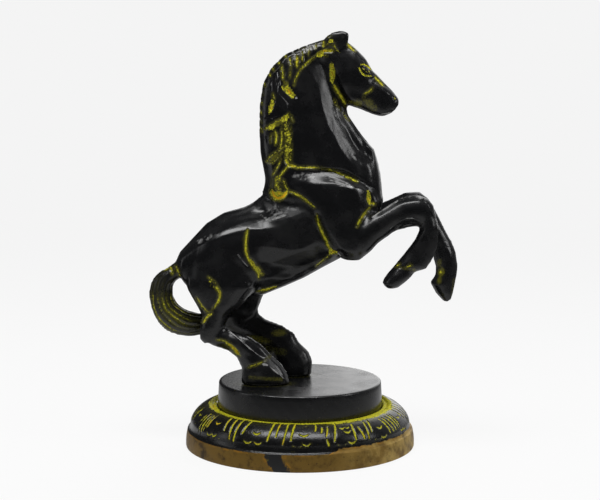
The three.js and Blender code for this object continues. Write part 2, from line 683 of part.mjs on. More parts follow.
function footRingOutline() {
  const border = [0, 18, 36, 54, 72, 90].map((degrees) => borderPoint(degToRad(degrees)));
  const lipTop = borderTop - 0.8 * channelDepth;
  const shelfBore = lipRadius - shelfWidth;
  return [
    [footRadius - ringWall, 0],
    [footRadius, 0],
    [footRadius, 0.3 * bandHeight],
    [bandTopRadius, bandHeight],
    [borderFootRadius + 0.4 * stepWidth, bandHeight + 0.1 * stepHeight],
    [borderFootRadius + 0.1 * stepWidth, borderFootHeight - 0.3 * stepHeight],
    ...border,
    [borderTopRadius - 0.4 * lipWidth, lipTop - channelDepth],
    [lipRadius + channelWidth, lipTop],
    [lipRadius, lipTop - channelDepth],
    [lipRadius, shelfHeight],
    [shelfBore, shelfHeight],
    [shelfBore, underShelf],
    [lipRadius, underShelf],
    [borderFootRadius - ringWall, 0.5 * underShelf],
  ];
}

// One engraved stroke, from the channel down the border, bowed like a blade of grass
function borderStroke(start) {
  const points = [];
  const outwards = [];
  for (let i = 0; i <= strokeSteps; i++) {
    const t = i / strokeSteps;
    const fall = degToRad(strokeStart - strokeFall * t);
    const turn = degToRad(start - strokeLean * t * t);
    const [r, z] = borderPoint(fall);
    const normal = borderNormal(fall);
    points.push(new THREE.Vector3(r * Math.cos(turn), r * Math.sin(turn), z));
    outwards.push(new THREE.Vector3(normal.x * Math.cos(turn), normal.x * Math.sin(turn), normal.y));
  }
  return chiselCut(points, outwards, { width: strokeWidth, depth: strokeDepth, lift: strokeLift });
}

const around = (count, make) => Array.from({ length: count }, (_, i) => make((360 * i) / count, i));

function screwPlaces() {
  const radius = drumFootRadius - drumWall / 2;
  return around(screwCount, (degrees) => {
    const turn = degToRad(degrees + 90);
    return new THREE.Vector3(radius * Math.cos(turn), radius * Math.sin(turn), shelfHeight);
  });
}

function footRing() {
  const strokes = around(strokeGroups, (degrees) =>
    Array.from({ length: strokesPerGroup }, (_, i) =>
      borderStroke(degrees + strokePitch * (i - (strokesPerGroup - 1) / 2)),
    ),
  ).flat();
  const holes = screwPlaces().map((place) =>
    roundHole(place, underShelf - 1, shelfHeight + 1, screwRadius + holeClearance),
  );
  return cutBy(solidFrom(turned(footRingOutline(), ringSides)), [joined(strokes), ...holes]);
}

function plinthDrum() {
  const cup = turned(
    [
      [0, underDrumTop],
      [drumBoreRadius - drumFillet, underDrumTop],
      [drumBoreRadius, underDrumTop - drumFillet],
      [drumBoreRadius, shelfHeight],
      [drumFootRadius, shelfHeight],
      [drumFootRadius, shelfHeight + 0.25 * drumHeight],
      [0.3 * drumFootRadius + 0.7 * drumTopRadius, shelfHeight + 0.55 * drumHeight],
      [drumTopRadius, drumTop - drumEdgeRound],
      [drumTopRadius - 0.3 * drumEdgeRound, drumTop - 0.3 * drumEdgeRound],
      [drumTopRadius - drumEdgeRound, drumTop],
      [0, drumTop],
    ],
    drumSides,
  );
  const studHoles = Object.values(soleMiddles).map((place) =>
    roundHole(place, underDrumTop - 1, drumTop + 1, studRadius + holeClearance),
  );
  const screwHoleTop = shelfHeight + screwGripInDrum + holeClearance;
  const screwHoles = screwPlaces().map((place) =>
    roundHole(place, shelfHeight - 1, screwHoleTop, screwRadius + holeClearance),
  );
  return cutBy(solidFrom(cup), [...studHoles, ...screwHoles]);
}

// Fixings, each made about its own axis and then placed

function stud() {
  const low = -drumTopThickness - washerThickness - nutHeight - studTail;
  return turned(
    [
      [0, low],
      [studRadius - studTip, low],
      [studRadius, low + studTip],
      [studRadius, studDepthInHoof - studTip],
      [studRadius - studTip, studDepthInHoof],
      [0, studDepthInHoof],
    ],
    roundSides,
  );
}

function flatRing(edge, thickness) {
  const bore = new THREE.Path().absarc(0, 0, studRadius + holeClearance, 0, 2 * Math.PI, true);
  edge.holes.push(bore);
  return new THREE.ExtrudeGeometry(edge, { depth: thickness, bevelEnabled: false, curveSegments: 8 });
}

function washer() {
  const edge = new THREE.Shape().absarc(0, 0, studRadius + washerRim, 0, 2 * Math.PI);
  return flatRing(edge, washerThickness);
}

function nut() {
  const corner = (2 * (studRadius + nutWall)) / Math.sqrt(3);
  const hexagon = around(6, (degrees) => {
    const turn = degToRad(degrees);
    return new THREE.Vector2(corner * Math.cos(turn), corner * Math.sin(turn));
  });
  return flatRing(new THREE.Shape(hexagon), nutHeight);
}

function drumScrew() {
  const under = -shelfThickness;
  const headRadius = screwRadius + screwHeadRim;
  return turned(
    [
      [0, under - screwHeadHeight],
      [0.7 * headRadius, under - screwHeadHeight],
      [headRadius, under - 0.5 * screwHeadHeight],
      [headRadius, under],
      [screwRadius, under],
      [screwRadius, screwGripInDrum - screwTip],
      [screwRadius - screwTip, screwGripInDrum],
      [0, screwGripInDrum],
    ],
    roundSides,
  );
}

// Assembly: the horse stands on the drum, the drum sits on the ring's shelf

const figurine = new THREE.Group();

function add(name, geometry, look, place = new THREE.Vector3()) {
  const mesh = named(name, geometry, look);
  mesh.position.copy(place);
  figurine.add(mesh);
}

const castings = {
  horse_body: horseBody(),
  right_foreleg: foreleg(-1, rightForearm, rightForeCannon, rightPeg),
  left_foreleg: foreleg(1, leftForearm, leftForeCannon, leftPeg),
  tail: tail(),
};
for (const [name, casting] of Object.entries(castings)) {
  add(name, geometryOf(casting), blackPatina, new THREE.Vector3(0, 0, drumTop));
}
add("plinth_drum", geometryOf(plinthDrum()), blackPatina);
add("foot_ring", geometryOf(footRing()), bareBrass);

for (const [side, middle] of Object.entries(soleMiddles)) {
  const place = middle.clone().setZ(drumTop);
  const below = (distance) => place.clone().sub(new THREE.Vector3(0, 0, drumTopThickness + distance));
  add(side + "_hoof_stud", stud(), plainSteel, place);
  add(side + "_stud_washer", washer(), plainSteel, below(washerThickness));
  add(side + "_stud_nut", nut(), plainSteel, below(washerThickness + nutHeight));
}

screwPlaces().forEach((place, i) => add("drum_screw_" + (i + 1), drumScrew(), plainSteel, place));

// The origin is under the middle of the whole figurine
const extent = new THREE.Box3().setFromObject(figurine);
figurine.position.x = -(extent.min.x + extent.max.x) / 2;

export default figurine;
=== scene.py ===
"""A rearing horse in black-patinated cast brass on a turned base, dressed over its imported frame.

The horse faces +X, its right side faces -Y, and all objects are in metres. Chased lines and facets are
given as a sculptor's side view: millimetres forward of the base's axis and above the ground, as an eye
sees them on the horse's middle plane from straight beside it.
"""

import json
import logging
import math
from collections.abc import Iterator
from contextlib import contextmanager
from dataclasses import dataclass
from enum import Enum

import bpy
import numpy as np
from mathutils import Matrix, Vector

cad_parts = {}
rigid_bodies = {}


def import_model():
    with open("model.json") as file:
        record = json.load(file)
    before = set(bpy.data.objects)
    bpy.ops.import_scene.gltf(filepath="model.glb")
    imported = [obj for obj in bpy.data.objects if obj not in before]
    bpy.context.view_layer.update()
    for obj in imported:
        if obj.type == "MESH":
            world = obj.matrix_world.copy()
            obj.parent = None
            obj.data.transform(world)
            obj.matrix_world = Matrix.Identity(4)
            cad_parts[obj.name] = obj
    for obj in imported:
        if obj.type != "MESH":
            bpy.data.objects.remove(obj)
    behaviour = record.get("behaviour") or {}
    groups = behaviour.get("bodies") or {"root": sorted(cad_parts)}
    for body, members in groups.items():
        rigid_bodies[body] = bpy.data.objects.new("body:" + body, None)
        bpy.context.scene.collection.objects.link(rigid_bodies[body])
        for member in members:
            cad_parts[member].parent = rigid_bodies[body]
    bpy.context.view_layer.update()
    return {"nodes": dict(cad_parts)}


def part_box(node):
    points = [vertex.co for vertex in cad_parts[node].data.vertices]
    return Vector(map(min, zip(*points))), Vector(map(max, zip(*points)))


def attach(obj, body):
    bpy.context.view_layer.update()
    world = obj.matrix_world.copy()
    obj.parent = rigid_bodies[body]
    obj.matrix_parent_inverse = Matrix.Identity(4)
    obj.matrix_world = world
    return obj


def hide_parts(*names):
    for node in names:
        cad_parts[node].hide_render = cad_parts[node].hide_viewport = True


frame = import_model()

log = logging.getLogger("horse")

Array = np.ndarray
Socket = bpy.types.NodeSocket
Material = bpy.types.Material
Point = tuple[float, float]
Colour = tuple[float, float, float, float]
Run = tuple[float, ...]  # Points of a run, forward and height by turns

MM = 0.001
FRINGE = 0.8  # Millimetres in which the pigment's level falls by 1 beside a line
SHRINK = 0.06  # How far the pigment stays inside a line's edge
ARRIS = 0.7  # Half the width of the finer mesh along a crease's edge
FAR = 99.0  # Farther out than any point
LIP = 0.12  # How far a groove reaches past the line's edge
BURR = 1.4  # Where the burr beside a groove is highest, in half widths of the groove
BURR_SPREAD = 0.35
BURR_HEIGHT = 0.12  # As a share of the groove's depth
GRAZING_SLOPE = 3.5  # How fast marks fade in where the skin turns to face the eye
GRAZING_START = 0.25
WELD = 1e-6  # Metres within which points are merged
RING_LOW, RING_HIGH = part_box("foot_ring")
DRUM_LOW, DRUM_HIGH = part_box("plinth_drum")
AXIS_X = (RING_LOW.x + RING_HIGH.x) / 2
BASE_AXIS = np.array([AXIS_X / MM, 0, 0])

# Where the photograph was taken from, and its lens in millimetres
EYE_DISTANCE = 0.700
EYE_HEIGHT = 0.17918
EYE_TILT = math.radians(6.9415)
EYE_LENS = 88.73


class Facing(Enum):
    """The side of the horse that a mark is cut on, as the sign of y."""

    RIGHT = -1
    LEFT = 1


class Layer(Enum):
    """The point attributes that the finishes read."""

    PIGMENT = "pigment"
    STIPPLE = "stipple"
    HAZE = "haze"
    # Patina rubbed to a light grey, also painted along ridges, edges and facets as highlights
    WEAR_AND_HIGHLIGHT = "wear_and_highlight"


# Shader trees


class Value:
    """A number in a shader tree. Arithmetic on it adds math nodes."""

    def __init__(self, tree: "ShaderTree", socket: Socket) -> None:
        """Keeps the tree and the socket that gives the number."""
        self.tree, self.socket = tree, socket

    def __add__(self, other: "Value | float") -> "Value":
        """Returns the sum."""
        return self.tree.math("ADD", self, other)

    def __sub__(self, other: "Value | float") -> "Value":
        """Returns the difference."""
        return self.tree.math("SUBTRACT", self, other)

    def __rsub__(self, other: float) -> "Value":
        """Returns a plain number less this one."""
        return self.tree.math("SUBTRACT", other, self)

    def __mul__(self, other: "Value | float") -> "Value":
        """Returns the product."""
        return self.tree.math("MULTIPLY", self, other)

    def most(self, other: "Value | float") -> "Value":
        """Returns the greater of two numbers."""
        return self.tree.math("MAXIMUM", self, other)

    def step(self, low: float, high: float) -> "Value":
        """Returns a smooth step from 0 at low to 1 at high."""
        inputs = {"Value": self, "From Min": low, "From Max": high}
        return self.tree.value("MapRange", "Result", inputs, interpolation_type="SMOOTHSTEP")

    def blend(self, a: "Value | float", b: "Value | float") -> "Value":
        """Returns a mix of two numbers, with this one as the second's share."""
        return self.tree.value("Mix", 0, {0: self, 2: a, 3: b}, data_type="FLOAT")


class ShaderTree:
    """Builds the nodes of a material or a world with short calls."""

    def __init__(self, owner: Material | bpy.types.World) -> None:
        """Empties the node tree of its owner."""
        self.owner = owner
        owner.use_nodes = True
        self.tree = owner.node_tree
        self.tree.nodes.clear()

    def add(self, kind: str, inputs: dict | None = None, **settings: object) -> bpy.types.Node:
        """Adds a node.

        Args:
            kind: the node type without its ShaderNode prefix.
            inputs: numbers, colours, values or sockets by input name or index.
            settings: the node's own properties.

        Returns:
            The new node.
        """
        node = self.tree.nodes.new("ShaderNode" + kind)
        for name, setting in settings.items():
            setattr(node, name, setting)
        for key, given in (inputs or {}).items():
            given = given.socket if isinstance(given, Value) else given
            if isinstance(given, Socket):
                self.tree.links.new(given, node.inputs[key])
            else:
                node.inputs[key].default_value = given
        return node

    def value(self, kind: str, output: str | int, inputs: dict | None = None, **settings: object) -> Value:
        """Adds a node as add does, and returns the number at one of its outputs."""
        return Value(self, self.add(kind, inputs, **settings).outputs[output])

    def math(self, operation: str, a: Value | float, b: Value | float) -> Value:
        """Returns what a math node makes of two numbers."""
        return self.value("Math", 0, {0: a, 1: b}, operation=operation)

    def place(self) -> Socket:
        """Returns the object coordinates."""
        return self.add("TexCoord").outputs["Object"]

    def axes(self) -> tuple[Value, Value, Value]:
        """Returns the object coordinates one by one."""
        node = self.add("SeparateXYZ", {0: self.place()})
        return Value(self, node.outputs[0]), Value(self, node.outputs[1]), Value(self, node.outputs[2])

    def layer(self, layer: Layer) -> Value:
        """Returns a point attribute's value."""
        return self.value("Attribute", "Fac", attribute_name=layer.value)

    def noise(self, size: float, detail: float = 2, rough: float = 0.5, place: Socket | None = None) -> Value:
        """Noise, about 0.5 on average.

        Args:
            size: the length of its features in metres.
            detail: the number of finer octaves.
            rough: how strong the finer octaves are.
            place: the coordinates, which are the object's own when none are given.

        Returns:
            The noise.
        """
        inputs = {"Vector": place or self.place(), "Scale": 1 / size, "Detail": detail, "Roughness": rough}
        return self.value("TexNoise", "Fac", inputs)

    def mix(self, share: Value, a: Socket | Colour, b: Socket | Colour) -> Socket:
        """Returns a mix of two colours, with the second's share given."""
        return self.add("Mix", {0: share, 6: a, 7: b}, data_type="RGBA").outputs[2]

    def finish(self, inputs: dict, height: Value, depth: float) -> Material:
        """Ends the tree with the surface's shader.

        Args:
            inputs: the shader's inputs apart from its normal.
            height: a bump's height, from 0 to 1.
            depth: how deep in metres the bump is.

        Returns:
            The material.
        """
        bump = self.add("Bump", {"Height": height, "Distance": depth, "Strength": 1.0})
        shader = self.add("BsdfPrincipled", inputs | {"Normal": bump.outputs["Normal"]})
        self.add("OutputMaterial", {"Surface": shader.outputs[0]})
        return self.owner


@dataclass(frozen=True)
class Patina:
    """Waxed black patina over cast brass, with yellow pigment left in what is cut into it."""

    name: str = "black_patina"
    black: Colour = (0.0042, 0.0044, 0.0050, 1)
    bloom: Colour = (0.013, 0.013, 0.0135, 1)
    olive: Colour = (0.105, 0.100, 0.010, 1)
    lime: Colour = (0.70, 0.67, 0.030, 1)
    ochre: Colour = (0.76, 0.41, 0.010, 1)
    # Light grey of patina rubbed to the metal, also used as a painted highlight
    worn_and_highlight: Colour = (0.27, 0.27, 0.267, 1)
    gloss: float = 0.23
    bloom_gloss: float = 0.33
    specular: float = 0.50
    painted_specular: float = 0.15
    painted_roughness: float = 0.7
    face: Point = (0.0300, 0.1775)
    face_reach: Point = (0.007, 0.012)
    relief: float = 0.00009

    def away_from_face(self, tree: ShaderTree) -> Value:
        """Returns a share that is small on the face, where the fine lines are cleaner."""
        x, _, z = tree.axes()
        aside, above = x - self.face[0], z - self.face[1]
        distance = tree.math("SQRT", aside * aside + above * above, 0.0)
        return distance.step(*self.face_reach).blend(0.55, 1.0)

    def make(self) -> Material:
        """Builds the material, which reads the point layers."""
        tree = ShaderTree(bpy.data.materials.new(self.name))
        away = self.away_from_face(tree)
        blotch = tree.noise(0.011, 3, 0.6)
        grain = tree.noise(0.0008, 2, 0.6)
        drift = tree.noise(0.0032, 2, 0.6)
        dark = tree.mix(blotch.step(0.45, 0.75) * 0.6, self.black, self.bloom)
        haze = tree.layer(Layer.HAZE) * (grain.step(0.30, 0.70) + 0.25)
        filmed = tree.mix(tree.math("MINIMUM", haze, 1.0), dark, self.olive)
        # Light grey where the wear layer is set: rubbed patina, and partly painted highlights
        rubbed_and_highlit = tree.layer(Layer.WEAR_AND_HIGHLIGHT) + (drift - 0.5) * 1.4
        bared_and_highlit = tree.mix(rubbed_and_highlit.step(0.45, 0.85), filmed, self.worn_and_highlight)
        level = tree.layer(Layer.PIGMENT) + ((grain - 0.5) * 0.8 + (drift - 0.5) * 0.9) * away
        stipple = tree.layer(Layer.STIPPLE)
        dots = tree.noise(0.0009, 3, 0.8) * 0.9 + drift * 0.5 + (stipple - 1.0) * 0.4
        pigment = level.step(1.00, 1.20).most(dots.step(0.69, 0.77) * stipple.step(0.03, 0.25))
        deep = (level + tree.noise(0.0020, 3, 0.7) * 1.6).step(2.25, 3.0)
        dirt = tree.noise(0.0007, 3, 0.7).step(0.40, 0.56) * (away * 0.9)
        yellow = tree.mix(deep, tree.mix(dirt, self.lime, self.olive), self.ochre)
        gloss = blotch.step(0.35, 0.8).blend(self.gloss, self.bloom_gloss)
        strokes = tree.add("Mapping", {"Vector": tree.place(), "Scale": (0.22, 1.0, 1.0)})
        filed = tree.noise(0.0009, 2, 0.5, strokes.outputs[0])
        inputs = {
            "Base Color": tree.mix(pigment, bared_and_highlit, yellow),
            "Roughness": gloss.most(pigment * self.painted_roughness),
            "Specular IOR Level": pigment.blend(self.specular, self.painted_specular),
        }
        return tree.finish(inputs, tree.noise(0.006, 2) * 2.4 + grain * 0.15 + filed * 0.25, self.relief)


@dataclass(frozen=True)
class TurnedPatina:
    """Black patina on the turned drum, with dust, fine turning marks and a satin sheen."""

    name: str = "turned_patina"
    black: Colour = (0.0046, 0.0048, 0.0054, 1)
    dust: Colour = (0.040, 0.039, 0.032, 1)
    olive: Colour = (0.040, 0.037, 0.006, 1)
    roughness: float = 0.20
    unevenness: float = 0.12
    specular: float = 0.50
    relief: float = 0.00004

    def make(self) -> Material:
        """Builds the material, which reads the haze round the hooves."""
        tree = ShaderTree(bpy.data.materials.new(self.name))
        cloud = tree.noise(0.016, 4, 0.6)
        dusty = tree.noise(0.0016, 1).step(0.70, 0.76) * cloud.step(0.45, 0.65)
        haze = tree.layer(Layer.HAZE) * tree.noise(0.0012).step(0.35, 0.65)
        waves = {"Vector": tree.place(), "Scale": 900.0, "Distortion": 1.2}
        rings = tree.value("TexWave", "Fac", waves, wave_type="RINGS", rings_direction="Z")
        inputs = {
            "Base Color": tree.mix(haze, tree.mix(dusty, self.black, self.dust), self.olive),
            "Roughness": cloud.step(0.35, 0.75).blend(self.roughness, self.roughness + self.unevenness),
            "Specular IOR Level": self.specular,
        }
        return tree.finish(inputs, rings * 0.25 + cloud, self.relief)


@dataclass(frozen=True)
class EnamelOverBrass:
    """The foot ring: black enamel with yellow pigment in the engraving, and bare aged brass below."""

    name: str = "engraved_brass"
    black: Colour = (0.0048, 0.0050, 0.0054, 1)
    olive: Colour = (0.080, 0.075, 0.008, 1)
    lime: Colour = (0.52, 0.495, 0.016, 1)
    ochre: Colour = (0.62, 0.38, 0.010, 1)
    rim: Colour = (0.36, 0.17, 0.012, 1)
    brass: Colour = (0.190, 0.110, 0.018, 1)
    pale: Colour = (0.430, 0.295, 0.080, 1)
    brown: Colour = (0.022, 0.012, 0.003, 1)
    edge: float = 0.0081
    streak: float = -0.0102
    specular: float = 0.45
    painted_specular: float = 0.15
    painted_roughness: float = 0.7
    relief: float = 0.00007

    def bare(self, tree: ShaderTree) -> tuple[Value, Value, Value]:
        """Where brass shows: below the enamel's ragged edge, which is higher on the right.

        Args:
            tree: the shader tree to build in.

        Returns:
            1 on bare brass, 1 below the enamel's edge with the dark streak counted in, and 1 along that edge.
        """
        x, y, z = tree.axes()
        rise = x.step(AXIS_X + 0.012, AXIS_X + 0.019) * 0.0019
        rough = x.step(AXIS_X + 0.010, AXIS_X + 0.018).blend(0.0010, 0.0030)
        gap = rise + (tree.noise(0.005, 4, 0.7) - 0.5) * rough + self.edge - z
        below = gap.step(-0.0001, 0.0003)
        wander = (tree.noise(0.0045, 5, 0.75) - 0.5) * 0.0095 + (z - 0.004) * 0.45
        aside = tree.math("ABSOLUTE", x - (AXIS_X + self.streak) + wander, 0.0)
        near = tree.math("LESS_THAN", y, 0.0)
        run = (1.0 - aside.step(0.0032, 0.0040)) * near
        beside = aside.step(0.0036, 0.0044) - aside.step(0.0044, 0.0062)
        return below * (1.0 - run), below, (beside * near).most(1.0 - gap.step(0.0004, 0.0012))

    def metal(self, tree: ShaderTree, cloud: Value) -> Socket:
        """Returns the aged brass's colour, from pale to brown over a coarse noise, with dark specks."""
        x, _, _ = tree.axes()
        right = x.step(AXIS_X + 0.012, AXIS_X + 0.045)
        lighter = tree.mix(right * cloud.step(0.35, 0.6), self.brass, self.pale)
        left = 0.85 - x.step(AXIS_X - 0.05, AXIS_X + 0.03) * 0.4
        aged = tree.mix(tree.noise(0.0055, 5, 0.7).step(0.46, 0.68) * left, lighter, self.brown)
        return tree.mix(tree.noise(0.0011, 2, 0.6).step(0.66, 0.74) * 0.8, aged, self.black)

    def make(self) -> Material:
        """Builds the material, which reads the point layers."""
        tree = ShaderTree(bpy.data.materials.new(self.name))
        bare, below, edges = self.bare(tree)
        grain = tree.noise(0.0008, 2, 0.6)
        drift = tree.noise(0.0030, 3, 0.6)
        cloud = tree.noise(0.010, 4, 0.65)
        metal = tree.mix(edges * drift.step(0.42, 0.62) * 0.7, self.metal(tree, cloud), self.rim)
        film = tree.layer(Layer.HAZE) * (grain.step(0.3, 0.7) + 0.2)
        filmed = tree.mix(tree.math("MINIMUM", film, 1.0), self.black, self.olive)
        level = tree.layer(Layer.PIGMENT) + (grain - 0.5) * 0.7 + (drift - 0.5) * 0.7
        patch = grain * 0.4 + drift * 0.6 + tree.layer(Layer.STIPPLE) * 0.36
        pigment = level.step(0.88, 1.10).most(patch.step(0.64, 0.74))
        ochre = (cloud + level * 0.12).step(0.66, 0.86)
        dirt = tree.noise(0.0006, 3, 0.7).step(0.48, 0.60) * 0.7
        yellow = tree.mix(ochre, tree.mix(dirt, self.lime, self.olive), self.ochre)
        painted = cloud.step(0.3, 0.7).blend(0.18, 0.30).most(pigment * self.painted_roughness)
        inputs = {
            "Base Color": tree.mix(bare, tree.mix(pigment, filmed, yellow), metal),
            "Metallic": bare * 0.55,
            "Roughness": painted.most(below * (drift * 0.2 + 0.42)),
            "Specular IOR Level": pigment.blend(self.specular, self.painted_specular),
        }
        return tree.finish(inputs, grain + cloud, self.relief)


@dataclass(frozen=True)
class ZincPlate:
    """Zinc-plated steel on the fixings underneath."""

    name: str = "zinc_plate"
    light: Colour = (0.52, 0.53, 0.54, 1)
    dull: Colour = (0.30, 0.30, 0.29, 1)
    relief: float = 0.00002

    def make(self) -> Material:
        """Builds the material."""
        tree = ShaderTree(bpy.data.materials.new(self.name))
        cloud = tree.noise(0.002, 4, 0.6)
        inputs = {
            "Base Color": tree.mix(cloud.step(0.4, 0.7), self.light, self.dull),
            "Metallic": 1.0,
            "Roughness": cloud.blend(0.25, 0.5),
        }
        return tree.finish(inputs, tree.noise(0.0004, 2), self.relief)


# Meshes


def deselect_all() -> None:
    """Leaves edit mode and selects nothing."""
    if bpy.context.object and bpy.context.object.mode != "OBJECT":
        bpy.ops.object.mode_set(mode="OBJECT")
    bpy.ops.object.select_all(action="DESELECT")


def make_active(piece: bpy.types.Object) -> None:
    """Selects one object alone and makes it the active one."""
    deselect_all()
    piece.select_set(True)
    bpy.context.view_layer.objects.active = piece


@contextmanager
def edit_mode(piece: bpy.types.Object, kind: str = "VERT", chosen: Array | None = None) -> Iterator[None]:
    """Opens a piece in edit mode, with everything or only the chosen elements selected.

    Args:
        piece: the object.
        kind: what is selected, VERT or FACE.
        chosen: True at each vertex or face to select, or None for all of them.
    """
    make_active(piece)
    bpy.ops.object.mode_set(mode="EDIT")
    bpy.ops.mesh.select_mode(type=kind)
    bpy.ops.mesh.select_all(action="SELECT" if chosen is None else "DESELECT")
    if chosen is not None:
        bpy.ops.object.mode_set(mode="OBJECT")
        elements = piece.data.vertices if kind == "VERT" else piece.data.polygons
        elements.foreach_set("select", chosen)
        bpy.ops.object.mode_set(mode="EDIT")
    yield
    bpy.ops.object.mode_set(mode="OBJECT")


def coat(piece: bpy.types.Object, finish: Material, sharp: float | None = None) -> None:
    """Gives a piece its finish and smooth shading.

    Args:
        piece: the object.
        finish: its material.
        sharp: the angle in degrees past which an edge stays sharp, or None where no edge does.
    """
    piece.data.materials.append(finish)
    make_active(piece)
    if sharp is None:
        bpy.ops.object.shade_smooth()
    else:
        bpy.ops.object.shade_smooth_by_angle(angle=math.radians(sharp))
    log.info("%s has %d faces", piece.name, len(piece.data.polygons))


def copy_of(node: str, name: str) -> bpy.types.Object:
    """A merged copy of a CAD node's mesh, as a new piece.

    Args:
        node: the CAD node's name.
        name: the new piece's name.

    Returns:
        The new object, alone selected.
    """
    piece = bpy.data.objects.new(name, frame["nodes"][node].data.copy())
    bpy.context.scene.collection.objects.link(piece)
    piece.data.materials.clear()
    with edit_mode(piece):
        bpy.ops.mesh.remove_doubles(threshold=WELD)
    return piece


def recast(piece: bpy.types.Object, voxel: float) -> None:
    """Remeshes a piece into even squares.

    Args:
        piece: the object.
        voxel: the squares' size in metres.
    """
    make_active(piece)
    remesh = piece.modifiers.new("recast", "REMESH")
    remesh.mode = "VOXEL"
    remesh.voxel_size = voxel
    remesh.use_smooth_shade = True
    bpy.ops.object.modifier_apply(modifier=remesh.name)


def turned(name: str, outline: list[Point], steps: int) -> bpy.types.Object:
    """Turns an outline about the base's axis.

    Args:
        name: the piece's name.
        outline: radius and height in metres, from the axis or as a closed run.
        steps: the number of segments round the axis.

    Returns:
        The closed body.
    """
    deselect_all()
    bpy.ops.mesh.primitive_plane_add(size=0.01, location=(0, 0, 0))
    piece = bpy.context.object
    piece.name = piece.data.name = name
    with edit_mode(piece):
        bpy.ops.mesh.merge(type="CENTER")
        bpy.ops.transform.translate(value=(outline[0][0], 0, outline[0][1]))
        for (r0, z0), (r1, z1) in zip(outline, outline[1:]):
            bpy.ops.mesh.extrude_region_move(TRANSFORM_OT_translate={"value": (r1 - r0, 0, z1 - z0)})
    turning = piece.modifiers.new("turning", "SCREW")
    turning.steps = turning.render_steps = steps
    turning.use_merge_vertices = True
    turning.merge_threshold = 2 * WELD
    bpy.ops.object.modifier_apply(modifier=turning.name)
    with edit_mode(piece):
        bpy.ops.transform.translate(value=(AXIS_X, 0, 0))
        bpy.ops.mesh.remove_doubles(threshold=2 * WELD)
        bpy.ops.mesh.normals_make_consistent(inside=False)
    return piece


def keep_linked(piece: bpy.types.Object, index: int) -> None:
    """Deletes all that isn't linked to one vertex.

    Args:
        piece: the object.
        index: the vertex that is kept.
    """
    before = len(piece.data.vertices)
    with edit_mode(piece, "VERT", np.arange(before) == index):
        bpy.ops.mesh.select_linked()
        bpy.ops.mesh.select_all(action="INVERT")
        bpy.ops.mesh.delete(type="VERT")
    log.info("%s keeps %d of %d points", piece.name, len(piece.data.vertices), before)


class Skin:
    """A piece's points as arrays in millimetres, to be shaped, painted and written back."""

    def __init__(self, piece: bpy.types.Object) -> None:
        """Reads the piece.

        Args:
            piece: a mesh object at the origin.
        """
        self.piece = piece
        self.read()

    def read(self) -> None:
        """Reads the mesh, with empty layers."""
        mesh = self.piece.data
        count = len(mesh.vertices)
        flat = np.empty(count * 3)
        mesh.vertices.foreach_get("co", flat)
        self.points = flat.reshape(-1, 3) / MM - BASE_AXIS
        pairs = np.empty(len(mesh.edges) * 2, dtype=np.int64)
        mesh.edges.foreach_get("vertices", pairs)
        self.edges = pairs.reshape(-1, 2)
        self.layers: dict[Layer, Array] = {layer: np.zeros(count) for layer in Layer}
        self.normals = self.read_normals()

    def read_normals(self) -> Array:
        """Returns the points' normals as the mesh has them now."""
        flat = np.empty(len(self.piece.data.vertices) * 3)
        self.piece.data.vertex_normals.foreach_get("vector", flat)
        return flat.reshape(-1, 3)

    def write(self) -> None:
        """Writes points and layers to the mesh, and reads the normals again."""
        mesh = self.piece.data
        real = (self.points + BASE_AXIS) * MM
        mesh.vertices.foreach_set("co", real.astype(np.float32).ravel())
        mesh.update()
        for layer, values in self.layers.items():
            attribute = mesh.attributes.get(layer.value) or mesh.attributes.new(layer.value, "FLOAT", "POINT")
            attribute.data.foreach_set("value", values.astype(np.float32))
        self.normals = self.read_normals()

    def relax(self, rounds: int, weight: Array | float = 1.0, keep: float = 0.515) -> None:
        """Smooths the points without shrinking the form.

        Args:
            rounds: the number of passes.
            weight: how much each point takes part, from 0 to 1.
            keep: the outward pass, slightly above the inward one of 0.5.
        """
        a, b = self.edges[:, 0], self.edges[:, 1]
        count = len(self.points)
        valence = np.bincount(a, minlength=count) + np.bincount(b, minlength=count)
        share = np.broadcast_to(np.asarray(weight, dtype=float), (count,))[:, None]
        for turn in range(2 * rounds):
            total = np.zeros_like(self.points)
            for axis in range(3):
                total[:, axis] = np.bincount(a, self.points[b, axis], count)
                total[:, axis] += np.bincount(b, self.points[a, axis], count)
            pull = total / np.maximum(valence, 1)[:, None] - self.points
            self.points = self.points + share * pull * (0.5 if turn % 2 == 0 else -keep)

    def split(self, wanted: Array) -> None:
        """Splits each face that has a wanted point into four, and reads the mesh again.

        Args:
            wanted: True at each point whose faces are split.
        """
        self.write()
        mesh = self.piece.data
        loops = np.empty(len(mesh.loops), dtype=np.int64)
        mesh.loops.foreach_get("vertex_index", loops)
        starts = np.empty(len(mesh.polygons), dtype=np.int64)
        mesh.polygons.foreach_get("loop_start", starts)
        chosen = np.maximum.reduceat(wanted[loops].astype(np.int8), starts) > 0
        with edit_mode(self.piece, "FACE", chosen):
            bpy.ops.mesh.subdivide(number_cuts=1)
        self.read()
        log.info("%s has %d points after splitting", self.piece.name, len(self.points))

    def paint(self, layer: Layer, index: Array, amount: Array) -> None:
        """Raises a layer to at least the given amount at some points."""
        self.layers[layer][index] = np.maximum(self.layers[layer][index], amount)

    def push(self, index: Array, height: Array) -> None:
        """Moves some points along their normals by so many millimetres."""
        self.points[index] += self.normals[index] * height[:, None]


def ease(value: Array, low: float, high: float) -> Array:
    """A smooth step from 0 at low to 1 at high."""
    t = np.clip((value - low) / (high - low), 0, 1)
    return t * t * (3 - 2 * t)


def pigment_level(inside: Array, amount: float) -> Array:
    """Returns the pigment's level by the millimetres inside a mark's edge, and by the mark's own amount."""
    return np.clip(1 + inside / FRINGE - 0.7 * (1 - amount), 0, 3)


